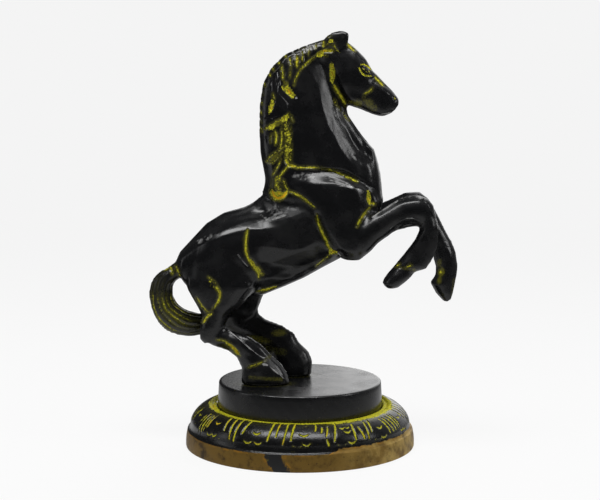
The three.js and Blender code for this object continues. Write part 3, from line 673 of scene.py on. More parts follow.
def rounded(points: Run, turns: int = 4) -> Array:
    """A smooth run through points.

    Args:
        points: the points that it passes.
        turns: the number of pieces between two of them.

    Returns:
        The run's points.
    """
    given = np.array(points, dtype=float).reshape(-1, 2)
    if len(given) < 3:
        return given
    padded = np.vstack([2 * given[0] - given[1], given, 2 * given[-1] - given[-2]])
    t = np.linspace(0, 1, turns, endpoint=False)[:, None]
    run = []
    for p0, p1, p2, p3 in zip(padded, padded[1:], padded[2:], padded[3:]):
        bend = 2 * p0 - 5 * p1 + 4 * p2 - p3
        turn = -p0 + 3 * p1 - 3 * p2 + p3
        run.append(0.5 * (2 * p1 + (p2 - p0) * t + bend * t**2 + turn * t**3))
    return np.vstack([*run, given[-1:]])


def along(run: Array, x: Array, z: Array) -> tuple[Array, Array, Array]:
    """Measures places against a run.

    Args:
        run: the run's points.
        x: the places' forward values.
        z: the places' heights.

    Returns:
        Distance to the run, share of its length, and distance signed positive on its right.
    """
    best = np.full(len(x), 1e9)
    share = np.zeros(len(x))
    signed = np.zeros(len(x))
    spans = np.linalg.norm(np.diff(run, axis=0), axis=1)
    ends = np.concatenate([[0], np.cumsum(spans)])
    for i, span in enumerate(spans):
        (ax, az), (bx, bz) = run[i], run[i + 1]
        dx, dz = (bx - ax) / span, (bz - az) / span
        reach = np.clip((x - ax) * dx + (z - az) * dz, 0, span)
        px, pz = x - ax - dx * reach, z - az - dz * reach
        distance = np.hypot(px, pz)
        nearer = distance < best
        best = np.where(nearer, distance, best)
        share = np.where(nearer, (ends[i] + reach) / ends[-1], share)
        signed = np.where(nearer, np.sign(px * dz - pz * dx) * distance, signed)
    return best, share, signed


class View:
    """A skin as the eye sees it on the horse's middle plane, from straight beside it."""

    def __init__(self, skin: Skin, facing: Facing, inner: float = -FAR, outer: float = FAR) -> None:
        """Places the points in the side view.

        Args:
            skin: the skin.
            facing: the side that the eye is on.
            inner: points nearer the middle plane, or beyond it, aren't cut.
            outer: points farther out aren't cut.
        """
        outward = facing.value * skin.points[:, 1]
        shrink = (EYE_DISTANCE / MM - outward) / (EYE_DISTANCE / MM)
        level = EYE_HEIGHT / MM
        self.facing = facing
        self.x = skin.points[:, 0] / shrink
        self.z = level + (skin.points[:, 2] - level) / shrink
        toward = facing.value * skin.normals[:, 1]
        between = (outward > inner) & (outward < outer)
        self.mask = np.clip(GRAZING_SLOPE * toward + GRAZING_START, 0, 1) * between

    def box(self, run: Array, reach: float) -> Array:
        """Returns the indices of the points that may be cut within a run's box, grown by a reach."""
        low, high = run.min(axis=0) - reach, run.max(axis=0) + reach
        inside = (self.x > low[0]) & (self.x < high[0]) & (self.z > low[1]) & (self.z < high[1])
        return np.flatnonzero(inside & (self.mask > 0))


# Marks


@dataclass(frozen=True)
class RunMark:
    """A mark that follows a run through the side view."""

    points: Run

    def near(self, view: View, reach: float) -> tuple[Array, Array, Array, Array]:
        """Finds the points of a skin near the run.

        Args:
            view: the skin's side view.
            reach: how far round the run to look.

        Returns:
            Their indices, distance to the run, share of its length and signed distance.
        """
        run = rounded(self.points)
        index = view.box(run, reach)
        return index, *along(run, view.x[index], view.z[index])

    def fine_reach(self) -> float:
        """How far from its run the mark wants a finer mesh."""
        return 0.0

    def touched(self, view: View) -> Array:
        """Returns the indices of the points where the mark wants a finer mesh."""
        index, distance, _, _ = self.near(view, self.fine_reach())
        return index[distance < self.fine_reach()]


@dataclass(frozen=True)
class OvalMark:
    """A mark that fills an oval of the side view, turned by so many degrees."""

    centre: Point
    radii: Point
    turn: float = 0.0

    def near(self, view: View, reach: float) -> tuple[Array, Array]:
        """Finds the points of a skin near the oval.

        Args:
            view: the skin's side view.
            reach: how far round the centre to look.

        Returns:
            Their indices, and their distance from the centre, 1 on the oval itself.
        """
        index = view.box(np.array([self.centre]), reach)
        angle = math.radians(self.turn)
        dx, dz = view.x[index] - self.centre[0], view.z[index] - self.centre[1]
        across = (dx * math.cos(angle) + dz * math.sin(angle)) / self.radii[0]
        up = (dz * math.cos(angle) - dx * math.sin(angle)) / self.radii[1]
        return index, np.hypot(across, up)

    def fine_reach(self) -> float:
        """How far from its centre the mark wants a finer mesh."""
        return 0.0

    def touched(self, view: View) -> Array:
        """Returns the indices of the points where the mark wants a finer mesh."""
        return self.near(view, self.fine_reach())[0]


@dataclass(frozen=True)
class Line(RunMark):
    """A chased line with pigment in it.

    A negative depth raises a ridge. The end width is the width where the line runs out, and the wear and
    highlight setting is how much light grey is painted along it: patina rubbed to bare metal, and partly a
    painted highlight.
    """

    width: float = 0.9
    depth: float = 0.4
    pigment: float = 1.0
    end_width: float | None = None
    wear_and_highlight: float = 0.0
    film: float = 0.85

    def fine_reach(self) -> float:
        """How far from its run the line wants a finer mesh."""
        return 0.5 * max(self.width, self.end_width or 0.0) + 0.5

    def cut(self, skin: Skin, view: View) -> None:
        """Cuts the line into a skin.

        Args:
            skin: the skin to shape.
            view: the skin's side view.
        """
        index, distance, share, _ = self.near(view, self.fine_reach() + 0.5)
        mask = view.mask[index]
        end = self.width if self.end_width is None else self.end_width
        half = 0.5 * (self.width + (end - self.width) * share)
        half = half * (0.5 + 0.5 * np.sqrt(np.clip(6 * share * (1 - share), 0, 1)))
        groove = half + LIP
        inside = np.clip(1 - (distance / groove) ** 2, 0, 1) * mask
        burr = np.exp(-(((distance / groove) - BURR) / BURR_SPREAD) ** 2) * mask
        skin.push(index, BURR_HEIGHT * abs(self.depth) * burr - self.depth * inside)
        if self.pigment > 0:
            skin.paint(Layer.PIGMENT, index, pigment_level(half - SHRINK - distance, self.pigment) * mask)
            skin.paint(Layer.HAZE, index, self.film * self.pigment * (1 - ease(distance - half, 0, 1)) * mask)
        # Light grey along the line: rubbed patina, and partly a painted highlight on ridges and edges
        if self.wear_and_highlight > 0:
            skin.paint(Layer.WEAR_AND_HIGHLIGHT, index, self.wear_and_highlight * (1 - ease(distance, 0.3 * half, half + 0.2)) * mask)


@dataclass(frozen=True)
class Strip(RunMark):
    """A punched band along a run, with dots or a film of pigment."""

    width: float
    depth: float = 0.2
    amount: float = 1.0
    layer: Layer = Layer.STIPPLE

    def fine_reach(self) -> float:
        """How far from its run the band wants a finer mesh."""
        return 0.65 * self.width - 0.5

    def cut(self, skin: Skin, view: View) -> None:
        """Sinks and paints the band, as Line.cut does."""
        index, distance, _, _ = self.near(view, 0.65 * self.width)
        inside = (1 - ease(distance, 0.2 * self.width, 0.64 * self.width)) * view.mask[index]
        skin.push(index, -self.depth * inside)
        skin.paint(self.layer, index, self.amount * inside)
        skin.paint(Layer.HAZE, index, 0.5 * self.amount * inside)


@dataclass(frozen=True)
class Crease(RunMark):
    """A filed edge: the skin falls away inwards on the right of the run, looking along it."""

    slope: float
    width: float
    release: float = 1.9
    floor: float = 0.3
    start_width: float | None = None

    def fine_reach(self) -> float:
        """How far from its edge the filing wants a finer mesh."""
        return ARRIS

    def cut(self, skin: Skin, view: View) -> None:
        """Files the skin back, as Line.cut does."""
        index, _, share, signed = self.near(view, self.release * self.width)
        fade = ease(share, 0, 0.15) * (1 - ease(share, 0.85, 1)) * view.mask[index]
        start = self.width if self.start_width is None else self.start_width
        width = start + (self.width - start) * np.clip(2 * share, 0, 1)
        fall = np.clip(signed, 0, width) * (1 - ease(signed / width, 1, self.release))
        outward = view.facing.value * skin.points[index, 1]
        moved = np.minimum(self.slope * fall * fade, (1 - self.floor) * np.clip(outward, 0, None))
        skin.points[index, 1] -= view.facing.value * moved


@dataclass(frozen=True)
class Ridge(RunMark):
    """A rounded band raised along a run."""

    width: float
    height: float

    def cut(self, skin: Skin, view: View) -> None:
        """Raises the band, as Line.cut does."""
        index, distance, share, _ = self.near(view, 1.3 * self.width)
        fade = ease(share, 0, 0.2) * (1 - ease(share, 0.8, 1)) * view.mask[index]
        skin.push(index, self.height * np.exp(-2.2 * (distance / self.width) ** 2) * fade)


@dataclass(frozen=True)
class Swell(OvalMark):
    """A soft muscle raised along the normals, or a hollow where its height is negative."""

    height: float = 0.5

    def cut(self, skin: Skin, view: View) -> None:
        """Raises the muscle, as Line.cut does."""
        index, radius = self.near(view, 2.2 * max(self.radii))
        skin.push(index, self.height * np.exp(-1.6 * radius**2) * view.mask[index])


@dataclass(frozen=True)
class Pool(OvalMark):
    """An oval hollow or patch that holds pigment, a film of it, dots of it, or a light grey of rubbed patina
    and painted highlight.
    """

    depth: float = 0.3
    layer: Layer = Layer.PIGMENT
    amount: float = 1.0

    def fine_reach(self) -> float:
        """How far from its centre the patch wants a finer mesh."""
        return 0.0 if self.layer in (Layer.WEAR_AND_HIGHLIGHT, Layer.HAZE) else 1.05 * max(self.radii)

    def cut(self, skin: Skin, view: View) -> None:
        """Sinks and paints the patch, as Line.cut does."""
        index, radius = self.near(view, 1.4 * max(self.radii))
        mask = view.mask[index]
        skin.push(index, -self.depth * (1 - ease(radius, 0.3, 1.15)) * mask)
        if self.layer is Layer.PIGMENT:
            level = pigment_level((1 - radius) * min(self.radii) / 2, self.amount)
        else:
            level = self.amount * (1 - ease(radius, 0.5, 1.35))
        skin.paint(self.layer, index, level * mask)


Mark = Line | Pool | Strip | Crease | Ridge | Swell


@dataclass(frozen=True)
class MarkSet:
    """Marks on one region: a range of the distance outward from the middle plane, on one side or both."""

    marks: tuple[Mark, ...]
    sides: tuple[Facing, ...] = (Facing.RIGHT, Facing.LEFT)
    inner: float = -FAR
    outer: float = FAR

    def cut(self, skin: Skin) -> None:
        """Cuts every mark on every side."""
        for facing in self.sides:
            view = View(skin, facing, self.inner, self.outer)
            for mark in self.marks:
                mark.cut(skin, view)

    def touched(self, skin: Skin) -> Array:
        """Returns True at each point where the marks want a finer mesh."""
        found = np.zeros(len(skin.points), dtype=bool)
        for facing in self.sides:
            view = View(skin, facing, self.inner, self.outer)
            for mark in self.marks:
                found[mark.touched(view)] = True
        return found


def chased(width: float, depth: float, pigment: float, *runs: Run) -> list[Line]:
    """Returns lines with the same settings along several runs."""
    return [Line(run, width, depth, pigment) for run in runs]


def rubbed_and_highlit(width: float, depth: float, wear_and_highlight: float, *runs: Run) -> list[Line]:
    """Returns lines without pigment along several runs, painted light grey by so much: patina rubbed bare,
    and partly painted highlights.
    """
    return [Line(run, width, depth, 0.0, None, wear_and_highlight) for run in runs]


# Filed planes and muscles, shaped before any line
BODY_FORM = MarkSet(
    (
        Swell((-6, 99), (9, 5), 12, -0.5),
        Swell((-34, 92), (12, 9), 20, 0.6),
        Swell((-24, 88), (3, 9), 12, -0.6),
        Crease((5, 113.6, -5, 109.4, -11, 107.9, -16.4, 107.4, -18.2, 103.8, -27, 105.2), 0.2, 3.6, 3),
        Crease(
            (-9, 104.9, -13, 104.6, -19, 104, -25.2, 103.7, -32, 102.1, -39.5, 99.6, -49, 95.2, -60, 88),
            0.43, 5, 5,
        ),
        Crease(
            (-9, 110.6, -13, 109.6, -25.2, 107.4, -32, 105.2, -39.5, 102, -49, 97.4, -60, 90), 0.62, 3.6, 5,
        ),
        Crease((-23.5, 95.3, -17, 95.9, -12, 95.2, -5, 94.2, 0, 94.4, 5, 96.4, 9.5, 99.5), 0.34, 8),
        Crease((-21, 86.6, -12, 86.8, -5, 86.3, 0, 85.4, 7, 88.4), 0.16, 4),
        Crease((-37.5, 56.5, -33, 64, -29, 70, -25, 75.2, -20.8, 80), 0.75, 3.4),
        Crease((-37, 101, -40.5, 92, -41.5, 84, -40, 76, -37.5, 67, -37.5, 60), 0.16, 9),
        Swell((26, 121.5), (6, 6), 0, 1.1),
        Ridge((35, 119.8, 28, 122.4, 20, 124, 14, 124.8, 7, 124.4), 4, 0.8),
        Crease(
            (37, 120.6, 31, 122.4, 28, 123.4, 24, 124.2, 20, 125, 14, 125.8, 8, 125.2, 2, 125.6),
            0.28, 6.2, 1.2, 0.3, 1.6,
        ),
        Crease((27, 105.5, 30, 110.5, 31, 115.5, 29.5, 120), 0.12, 2.6),
        Crease((9.4, 114, 12, 107.6, 15.8, 100.4, 20, 94.8, 24, 92.6), 0.5, 2.8),
        Crease((18.6, 95, 22.5, 92.9, 27, 92.5, 31.5, 94.5), 0.3, 2.4),
        Crease(
            (
                28, 131, 23, 136.6, 19.2, 142, 16.4, 147.5, 13.2, 153, 10.8, 160, 9.6, 166, 8.4, 171,
                6.2, 176, 3.4, 181.5, 2, 186,
            ),
            0.5, 6.4,
        ),
        Crease((29.5, 132, 26.4, 141, 22.8, 148.5, 19.4, 156, 16.4, 163, 13.4, 171), 0.45, 4.6),
    ),
)

HEAD_FORM = MarkSet(
    (
        Swell((22, 173), (5, 5.5), 0, 0.3),
        Ridge((33.5, 175, 38, 171.2, 42.5, 167.6), 2, 0.45),
        Crease((19.5, 179, 22, 174.6, 25.5, 172.3, 30, 171.2, 33.4, 170.8), 0.14, 3.6),
        Crease((46.4, 165, 42.4, 167.3, 38.4, 169.4, 34.6, 171.4, 31, 174.4), 0.42, 2.6),
        Crease((31, 184.6, 28.4, 184, 26.2, 187.2), 0.2, 3),
    ),
)

# Chased lines, read from the photograph and mirrored on the far side
BODY_LINES = MarkSet(
    (
        Line((-5.8, 134, -4, 134.2, -2, 133.8), 1.5, 0.45),
        *chased(1, 0.4, 1,
            (-2, 133.3, 1.5, 133.4, 5.2, 133.4, 8.8, 133.1), (21.2, 129.4, 24.2, 128.2, 27.2, 126.7),
        ),
        Line((12.4, 132.4, 16, 131.6, 20.4, 129.8), 0.9, 0.35, 0.95),
        Line((8.8, 133.1, 12.4, 132.4), 0.7, 0.3, 0.6),
        Line((-5.4, 122, -2, 120.9, 1, 119.1, 4, 116.7, 7, 114.2), 1.2, 0.4, 1, 0.8),
        Line((7.9, 111, 9, 106.4, 11.2, 101.2, 13.4, 97), 0.8, 0.4, 0.95, 1.3),
        Line((12.6, 97.6, 14.2, 94.8, 15.6, 93.2), 1.4, 0.4, 0.95),
        Pool((16, 92.8), (2.2, 1.1), -8),
        # This line's light grey is rubbed patina, partly a painted highlight at the elbow
        Line((18, 92.2, 19.4, 90.8), 0.8, 0.3, 0, None, 1),
        Line((7.6, 86.2, 11, 88.9, 14.5, 91.8), 0.7, 0.3, 0.8),
        Pool((32.8, 119.2), (1.2, 3.9), 3, 0.5),
        Line((33, 116.2, 34.6, 116.2, 35.6, 115.6), 1.2, 0.3),
        Line((33.6, 114.8, 31, 111.7, 28.6, 108.2, 27, 105), 1, 0.5),
        Line((-25, 104, -25.8, 99, -25.8, 94, -24.6, 90, -22.2, 86.2, -20.2, 83.2, -19.6, 80.2), 1.2, 0.5),
        Line((-24.6, 90.4, -22.2, 87.6, -19.6, 85, -17.6, 82.2), 1, 0.3, 0.9),
        Strip((-23, 88.4, -20.8, 85.6, -18.8, 82.4), 2.8, 0.2, 1),
        # Painted highlights: a thin light grey line on the thigh and a glint at the stifle
        Line((-29.6, 91.8, -27.6, 88.8, -25, 86.2), 0.8, 0.35, 0, None, 0.9),
        Pool((-26, 78.1), (0.5, 0.4), 0, 0.2, Layer.WEAR_AND_HIGHLIGHT, 1.4),
        # Light grey patches painted as hazy highlights on the back and on the shoulder's facet
        Pool((-12, 112), (8.5, 4.2), 24, 0, Layer.WEAR_AND_HIGHLIGHT, 0.54),
        Pool((-9, 110), (3.4, 0.9), 20, 0, Layer.WEAR_AND_HIGHLIGHT, 0.9),
        Pool((3, 129.2), (7.5, 3.2), -4, 0, Layer.WEAR_AND_HIGHLIGHT, 0.46),
        Pool((17, 127.2), (7.5, 1.6), -14, 0, Layer.WEAR_AND_HIGHLIGHT, 0.56),
        # Light grey streaks painted as the highlight along the shoulder's filed facet
        *rubbed_and_highlit(0.6, 0.08, 0.85,
            (13.4, 129.2, 18.6, 127.6, 24, 125), (14.4, 127.2, 21, 125.4, 27, 123.4),
            (17.5, 125, 24, 124, 30.4, 122),
        ),
        # Light grey patches painted as highlights on the neck's band and on the croup
        Pool((17.4, 157), (1.4, 4.6), 18, 0, Layer.WEAR_AND_HIGHLIGHT, 0.5),
        Pool((25.4, 139.5), (1.8, 4.6), 35, 0, Layer.WEAR_AND_HIGHLIGHT, 0.5),
        Pool((-45, 99.4), (6, 1.8), 28, 0, Layer.WEAR_AND_HIGHLIGHT, 0.56),
        Line((-20.2, 74, -17.6, 74.6, -15, 75.2, -11.4, 76.3), 1.1, 0.3, 0.95),
        Line((-44, 81, -41.4, 79, -39.4, 76.6), 0.7, 0.3, 0.9),
        Line((-40.4, 76.2, -38.9, 74.6, -38.4, 71.8, -39.4, 68.6, -42, 65.4), 1.7, 0.5, 1, 0.9),
        Pool((-42.4, 77.4), (1.5, 2.6), 40, 0.2, Layer.STIPPLE, 1),
        Line((-49.6, 71, -47.2, 67.2, -44.8, 64.6, -42.6, 63.6), 0.9, 0.3, 0.9),
        Line((-42.4, 63.4, -44.6, 61.8, -46.4, 59), 1.3, 0.4),
        Line((-65.2, 84.4, -63.8, 85, -62.6, 85.4), 0.8, 0.3),
        Line((-62, 86, -61.4, 84, -60.9, 82.2), 0.9, 0.3),
        Line((-59.4, 86.4, -58.6, 84, -57.4, 81), 0.8, 0.3, 0.9),
    ),
)

HEAD_LINES = MarkSet(
    (
        Pool((15.1, 178.2), (1.35, 5), 2, 0.6),
        Pool((14.9, 174.4), (1, 1.3), 0, 0.3),
        Line((16, 172, 17.6, 169.2, 19.4, 166.4, 21, 163.6, 21.4, 162.4), 1.7, 0.45, 1, 1),
        Line((16.2, 165.2, 16.9, 163.6), 0.8, 0.3, 0.9),
        # This line's light grey is rubbed patina, partly a painted highlight
        Line((17, 163, 18, 161.6, 18.9, 160.4), 0.6, 0.3, 0.7, None, 0.7),
        Line((20.8, 159, 21.8, 157, 23.2, 155.6), 0.7, 0.3, 0.8),
        Line((28.7, 181.8, 30.3, 181.7, 31.8, 180.9, 33.4, 179.4), 0.5, 0.3, 1.4, None, 0, 0.1),
        Line((27.9, 180.1, 28.5, 178.5, 29.8, 177.1, 31.3, 176.4, 33.6, 176.4), 0.52, 0.3, 1.4, None, 0, 0.1),
        Line((29.3, 180.2, 30.4, 179, 31.5, 178), 0.3, 0.2, 1.25, None, 0, 0.1),
        Line((32.2, 179, 32.9, 178), 0.3, 0.2, 1.2, None, 0, 0.1),
        Pool((31, 179.3), (1.7, 1.2), -25, -0.35, Layer.HAZE, 0.1),
        Line((35.3, 175.9, 37.1, 174, 39.2, 171.9), 0.8, 0.3, 1.2),
        Line((34, 170.7, 33, 169.5, 31.8, 168.8, 30.2, 167.8), 0.9, 0.35),
        Line((30.2, 167.6, 30.1, 165.6, 30.6, 163.6), 0.7, 0.2, 0.55),
        Pool((27.4, 163.7), (2.2, 1.5), -10, 0.15, Layer.HAZE, 1.5),
        Pool((32.4, 163.6), (2.3, 1.8), -30, 0.1, Layer.HAZE, 1.2),
        Pool((34.6, 161.5), (2, 1.4), -20, 0.1, Layer.HAZE, 1.2),
        Pool((24, 164.2), (2.2, 0.9), 10, 0.1, Layer.HAZE, 0.7),
        Pool((44.7, 166), (0.6, 0.9), -20, 0.5),
        # Light grey lines along the lower jaw: rubbed patina, partly painted highlights
        Line((46.4, 161.9, 44.4, 160.8, 41.2, 160.1), 0.5, 0.25, 0, None, 0.5),
        Line((38.4, 158.7, 41, 158.9, 43.4, 159.5), 0.6, -0.15, 0, None, 0.7),
        Line((22.6, 191.2, 23.6, 190, 24.8, 188.8, 26, 188), 1.6, 0.35, 1, 0.8),
        Pool((14.6, 192.7), (1.2, 0.9), 20),
        # This line's light grey is rubbed patina, partly a painted highlight
        Line((13.2, 194.4, 14.4, 194.8), 0.6, 0.2, 0.6, None, 0.6),
        Line((15.8, 191.6, 16.2, 190, 16.8, 188.8), 0.9, 0.4),
        Pool((17.8, 188), (1.2, 0.7), -35),
        # Light grey patch on the ear: rubbed patina, partly a painted highlight
        Pool((20.2, 195.2), (1.6, 1.3), 20, 0.5, Layer.WEAR_AND_HIGHLIGHT, 0.35),
    ),
)

# Where these marks set the wear layer they paint light grey: rubbed patina, partly painted highlights
MANE_LINES = MarkSet(
    (
        Pool((9.2, 186.5), (2.1, 1.6), 25, 0.45),
        Line((10.4, 187.7, 12.6, 188.2, 15.4, 188.1), 1.7, 0.5),
        Line((11, 186.2, 12.6, 185.6), 0.8, 0.3, 0.7),
        *chased(0.6, 0.3, 0.8,
            (11.6, 191.2, 13.4, 191.1, 15.2, 191), (-4.3, 180.4, -4.8, 175.4), (4.2, 189.6, 4, 186),
        ),
        Line(
            (7.6, 185.8, 5, 184, 2.5, 181.6, 0.5, 179.7, -1, 177.4, -2.2, 174.8, -2.8, 172), 1, 0.45, 1, 0.7,
        ),
        # The crest's raised line and the patch after it are painted light grey as the crest's highlights,
        # partly rubbed patina
        Line(
            (
                -14.9, 174.8, -12.4, 177.6, -10, 180, -7, 183.9, -4.5, 185.8, 0, 188, 4, 190, 7.5, 191.2,
                11, 191.9,
            ),
            0.9, -0.3, 0, None, 0.5,
        ),
        Pool((-3, 184.2), (6.5, 1.8), 34, 0, Layer.WEAR_AND_HIGHLIGHT, 0.52),
        *rubbed_and_highlit(0.5, 0.25, 0.7,
            (-13.6, 173.5, -13.4, 169.5), (-9.6, 176.5, -9.3, 171.5), (-6.8, 178.5, -6.6, 174),
            (-3.2, 182.8, -3.1, 178), (1.8, 186.6, 2, 183), (5.6, 189.6, 5.6, 187.2),
        ),
        Line((-12.2, 166.5, -11.2, 163), 0.5, 0.25, 0, None, 0.6),
        Line((-11.8, 176.2, -11.4, 174, -10.9, 171.8), 0.6, 0.3, 0, None, 0.7),
        *rubbed_and_highlit(0.6, 0.3, 0.8, (-10.8, 178.2, -10.3, 173, -10.4, 167), (-0.2, 184, -0.2, 182)),
        *chased(0.9, 0.4, 1, (-8.6, 181.2, -8.3, 178.2, -8, 174.8), (-4.9, 184.6, -4.4, 181.4)),
        Line((-1.6, 185.6, -1.4, 183.4, -1.3, 180.6), 1.4, 0.45),
        Line((1, 187.5, 1.2, 185.5, 1, 183.4), 0.7, 0.35, 0.95),
        Line((2, 189, 2.2, 187.4), 0.7, 0.3, 0.5, None, 0.8),
        Line((7.5, 190.9, 7.2, 189.2), 0.9, 0.35, 0.85),
        Line((10.8, 192.6, 11.1, 189.8), 1, 0.4),
        Pool((-4.9, 169), (1.7, 3.7), 33, 0.7),
        Pool((-7, 170.2), (1.2, 2.4), 38, 0.5),
        Pool((-6.6, 172.8), (1.3, 1.6), 20, 0.2, Layer.HAZE, 1.4),
        Pool((-1.8, 166), (0.6, 0.5), 0, 0.2, Layer.WEAR_AND_HIGHLIGHT, 1.4),
        Line((-10, 168.2, -7.4, 165.4, -5.4, 163), 0.7, -0.2, 0, None, 0.6),
        Pool((-13.6, 162.2), (1.35, 3.5), -17, 0.7),
        Line((-12.7, 168, -12.2, 165.6), 0.8, 0.3, 0.8, None, 0.6),
        Line((-5.9, 164.2, -5.6, 160), 0.6, 0.3, 0, None, 0.5),
        Line((-16.4, 156.4, -13, 156.4, -10, 157.2), 0.7, 0.4, 0, None, 0.5),
        Pool((-13.2, 152.3), (1.8, 1.2), 35, 0.4),
        Pool((-7.2, 156.4), (2.2, 1.5), 30, 0.4),
        Line((-16.4, 151.6, -13.4, 153.4, -10.2, 155.2, -7, 157, -5.4, 158.8), 1.3, 0.4, 0.9),
        Pool((-10.2, 154.2), (2.8, 1.3), 28, 0.2, Layer.HAZE, 1.4),
        Line((-4.3, 157.8, -3.9, 156.4, -3.2, 155), 0.8, 0.3, 0.9, None, 0.8),
        Line((-13.4, 149.2, -13.8, 147.4, -13.8, 145.2), 0.8, 0.35, 0.7),
        Line((-11.7, 150.4, -11.2, 147.6, -11.6, 144.2), 1.2, 0.4),
        Line((-8.8, 151.2, -8.5, 147.4, -9, 144.2, -9.9, 141.6), 0.9, 0.4, 0.95),
        Line((-16, 148, -15.2, 145.4), 0.6, 0.3, 0, None, 0.6),
        Strip((-6, 153.4, -5.8, 148, -5.5, 142, -5.6, 137), 4.8, 0.3, 1),
        Line((-8.6, 152.6, -6.6, 153.8, -4.9, 152.4, -4.2, 149.4), 0.7, 0.3, 0.75),
        Line((-16, 136.4, -13.2, 139.4, -9.6, 141.6, -7.4, 143.6), 0.8, 0.35, 0.9),
        Line((-15.8, 136, -13, 135.6, -10.5, 138.2, -8, 141), 0.7, 0.35, 0.85),
        Pool((-12.4, 137.8), (3, 1.2), 38, 0.1, Layer.HAZE, 1.6),
        Line((-9.2, 137.2, -10.4, 134, -11.8, 131.6, -13, 129.6), 0.8, 0.35, 0.95),
        Line((-6.6, 137.2, -5.8, 135.2, -4.4, 134), 1.5, 0.4),
        Line((-6, 133.8, -8, 131.2, -9.8, 129.2), 1, 0.35, 0.95),
        Strip((-10.6, 128, -10.4, 124.5, -10.2, 121.5), 5, 0.25, 1),
        Line((-13, 128.4, -13.6, 125, -13.4, 122.6), 0.6, 0.3, 0.5, None, 0.4),
        Line((-7.8, 127.4, -7, 124.6, -5.6, 122.4), 0.9, 0.3, 0.95),
        Line((-13.7, 122.4, -12.8, 119.9, -10.8, 118.6, -8.4, 119.4, -6.2, 122.2), 2.3, 0.6),
        Pool((-10.2, 120.8), (2.6, 1.5), 0, 0.1),
        Line((-15.6, 118.8, -13.6, 117.2, -12.4, 115.4), 0.7, 0.3, 0, None, 0.5),
    ),
)

# Nicks along the crest, where hair strokes run over it
CREST_NICKS = MarkSet(
    tuple(
        # Nicks with less pigment are painted light grey instead: rubbed patina, partly painted highlights
        Line((x - 0.8, z + 1.0, x + 0.5, z - 1.2), 0.9, 0.4, pigment, None, 1.0 - pigment)
        for x, z, pigment in (
            (-6.9, 186.2, 0.9), (-10.3, 183.4, 0.95), (-12.8, 180.2, 0.9), (-14.5, 177.5, 0.9),
            (-16.8, 172.8, 0.6), (-17.8, 168.8, 0.3), (-18.4, 164.4, 0.75), (-18.7, 159.8, 0.8),
            (-18.4, 155.6, 0.4), (-18.3, 151.4, 0.8), (-3.2, 188, 0.2), (-0.2, 189.4, 0.3), (3.4, 190.8, 0.2),
        )
    )
)

RIGHT_LEG = MarkSet(
    (
        Crease((-34, 56, -29, 51.2, -23.5, 46.4, -18, 42.2), 0.15, 3.2),
        Crease((-14, 38.8, -18, 42.2, -23.5, 46.4, -29, 51.2, -34, 56, -37, 59), -0.26, 4.5, 2.6),
        # Raised ridges and a patch painted light grey: highlights along the cannon's edges, partly rubbed
        # patina
        Line((-34.6, 55.2, -29.6, 51, -24, 46.2, -19, 42.2, -17, 41.6), 0.6, -0.3, 0, None, 1),
        Line((-20.4, 49.6, -17, 46.6, -13.6, 43, -9.6, 39, -6.4, 34.6, -5, 31.4), 0.7, -0.3, 0, None, 1),
        Line((-14.4, 37.2, -12, 35, -9.6, 33, -7.8, 31.4), 0.8, -0.25, 0, None, 0.8),
        Pool((-16.8, 38.4), (1.5, 0.7), -12, 0.2, Layer.WEAR_AND_HIGHLIGHT, 1.3),
        *chased(0.8, 0.35, 0.95,
            (-40.2, 50.5, -36.6, 50, -33, 47.6, -29.6, 44.2, -29, 42.4), (-25.2, 37.1, -22, 38.1, -18, 39.6),
        ),
        Line((-36, 49.4, -32.4, 46.6, -29.8, 43.4), 1, 0.4, 1, 2.2),
        # This line's light grey is rubbed patina, partly a painted highlight
        Line((-18, 39.6, -15.4, 41.6, -14.2, 43), 0.8, 0.2, 0.5, None, 0.4),
        Strip((-24, 32.2, -16, 31.4, -9, 31.2), 2, 0, 0.6, Layer.HAZE),
    ),
    sides=(Facing.RIGHT,),
    inner=3,
)

LEFT_LEG_INNER = MarkSet(
    (
        Pool((-10, 53.9), (3.6, 1.6), 5, 0, Layer.HAZE, 1.3),
        Pool((-20, 50.6), (6, 1.6), -12, 0.1, Layer.HAZE, 0.9),
        Strip((-16, 46, -12, 45, -8, 44.6), 4, 0.1, 0.35, Layer.HAZE),
    ),
    sides=(Facing.RIGHT,),
    outer=-3,
)

LEFT_LEG = MarkSet(
    (
        # Raised ridges painted light grey as the highlights along the cannon's edges, partly rubbed patina
        Line((-21.6, 55.2, -16.6, 51, -11, 46.2, -6, 42.2), 0.6, -0.3, 0, None, 1),
        Line((-7.4, 49.6, -4, 46.6, -0.6, 43, 3.4, 39), 0.7, -0.3, 0, None, 0.9),
        *chased(0.8, 0.35, 0.95,
            (-27.2, 50.5, -23.6, 50, -20, 47.6, -16.6, 44.2), (-12.8, 38.6, -9, 39.7, -5, 41.2),
        ),
        Line((-23, 49.4, -19.4, 46.6, -16.8, 43.4), 1, 0.4, 1, 2.2),
        Strip((-12, 33.4, -4, 32.4, 3, 32.2), 2, 0, 0.6, Layer.HAZE),
    ),
    sides=(Facing.LEFT,),
    inner=3,
)

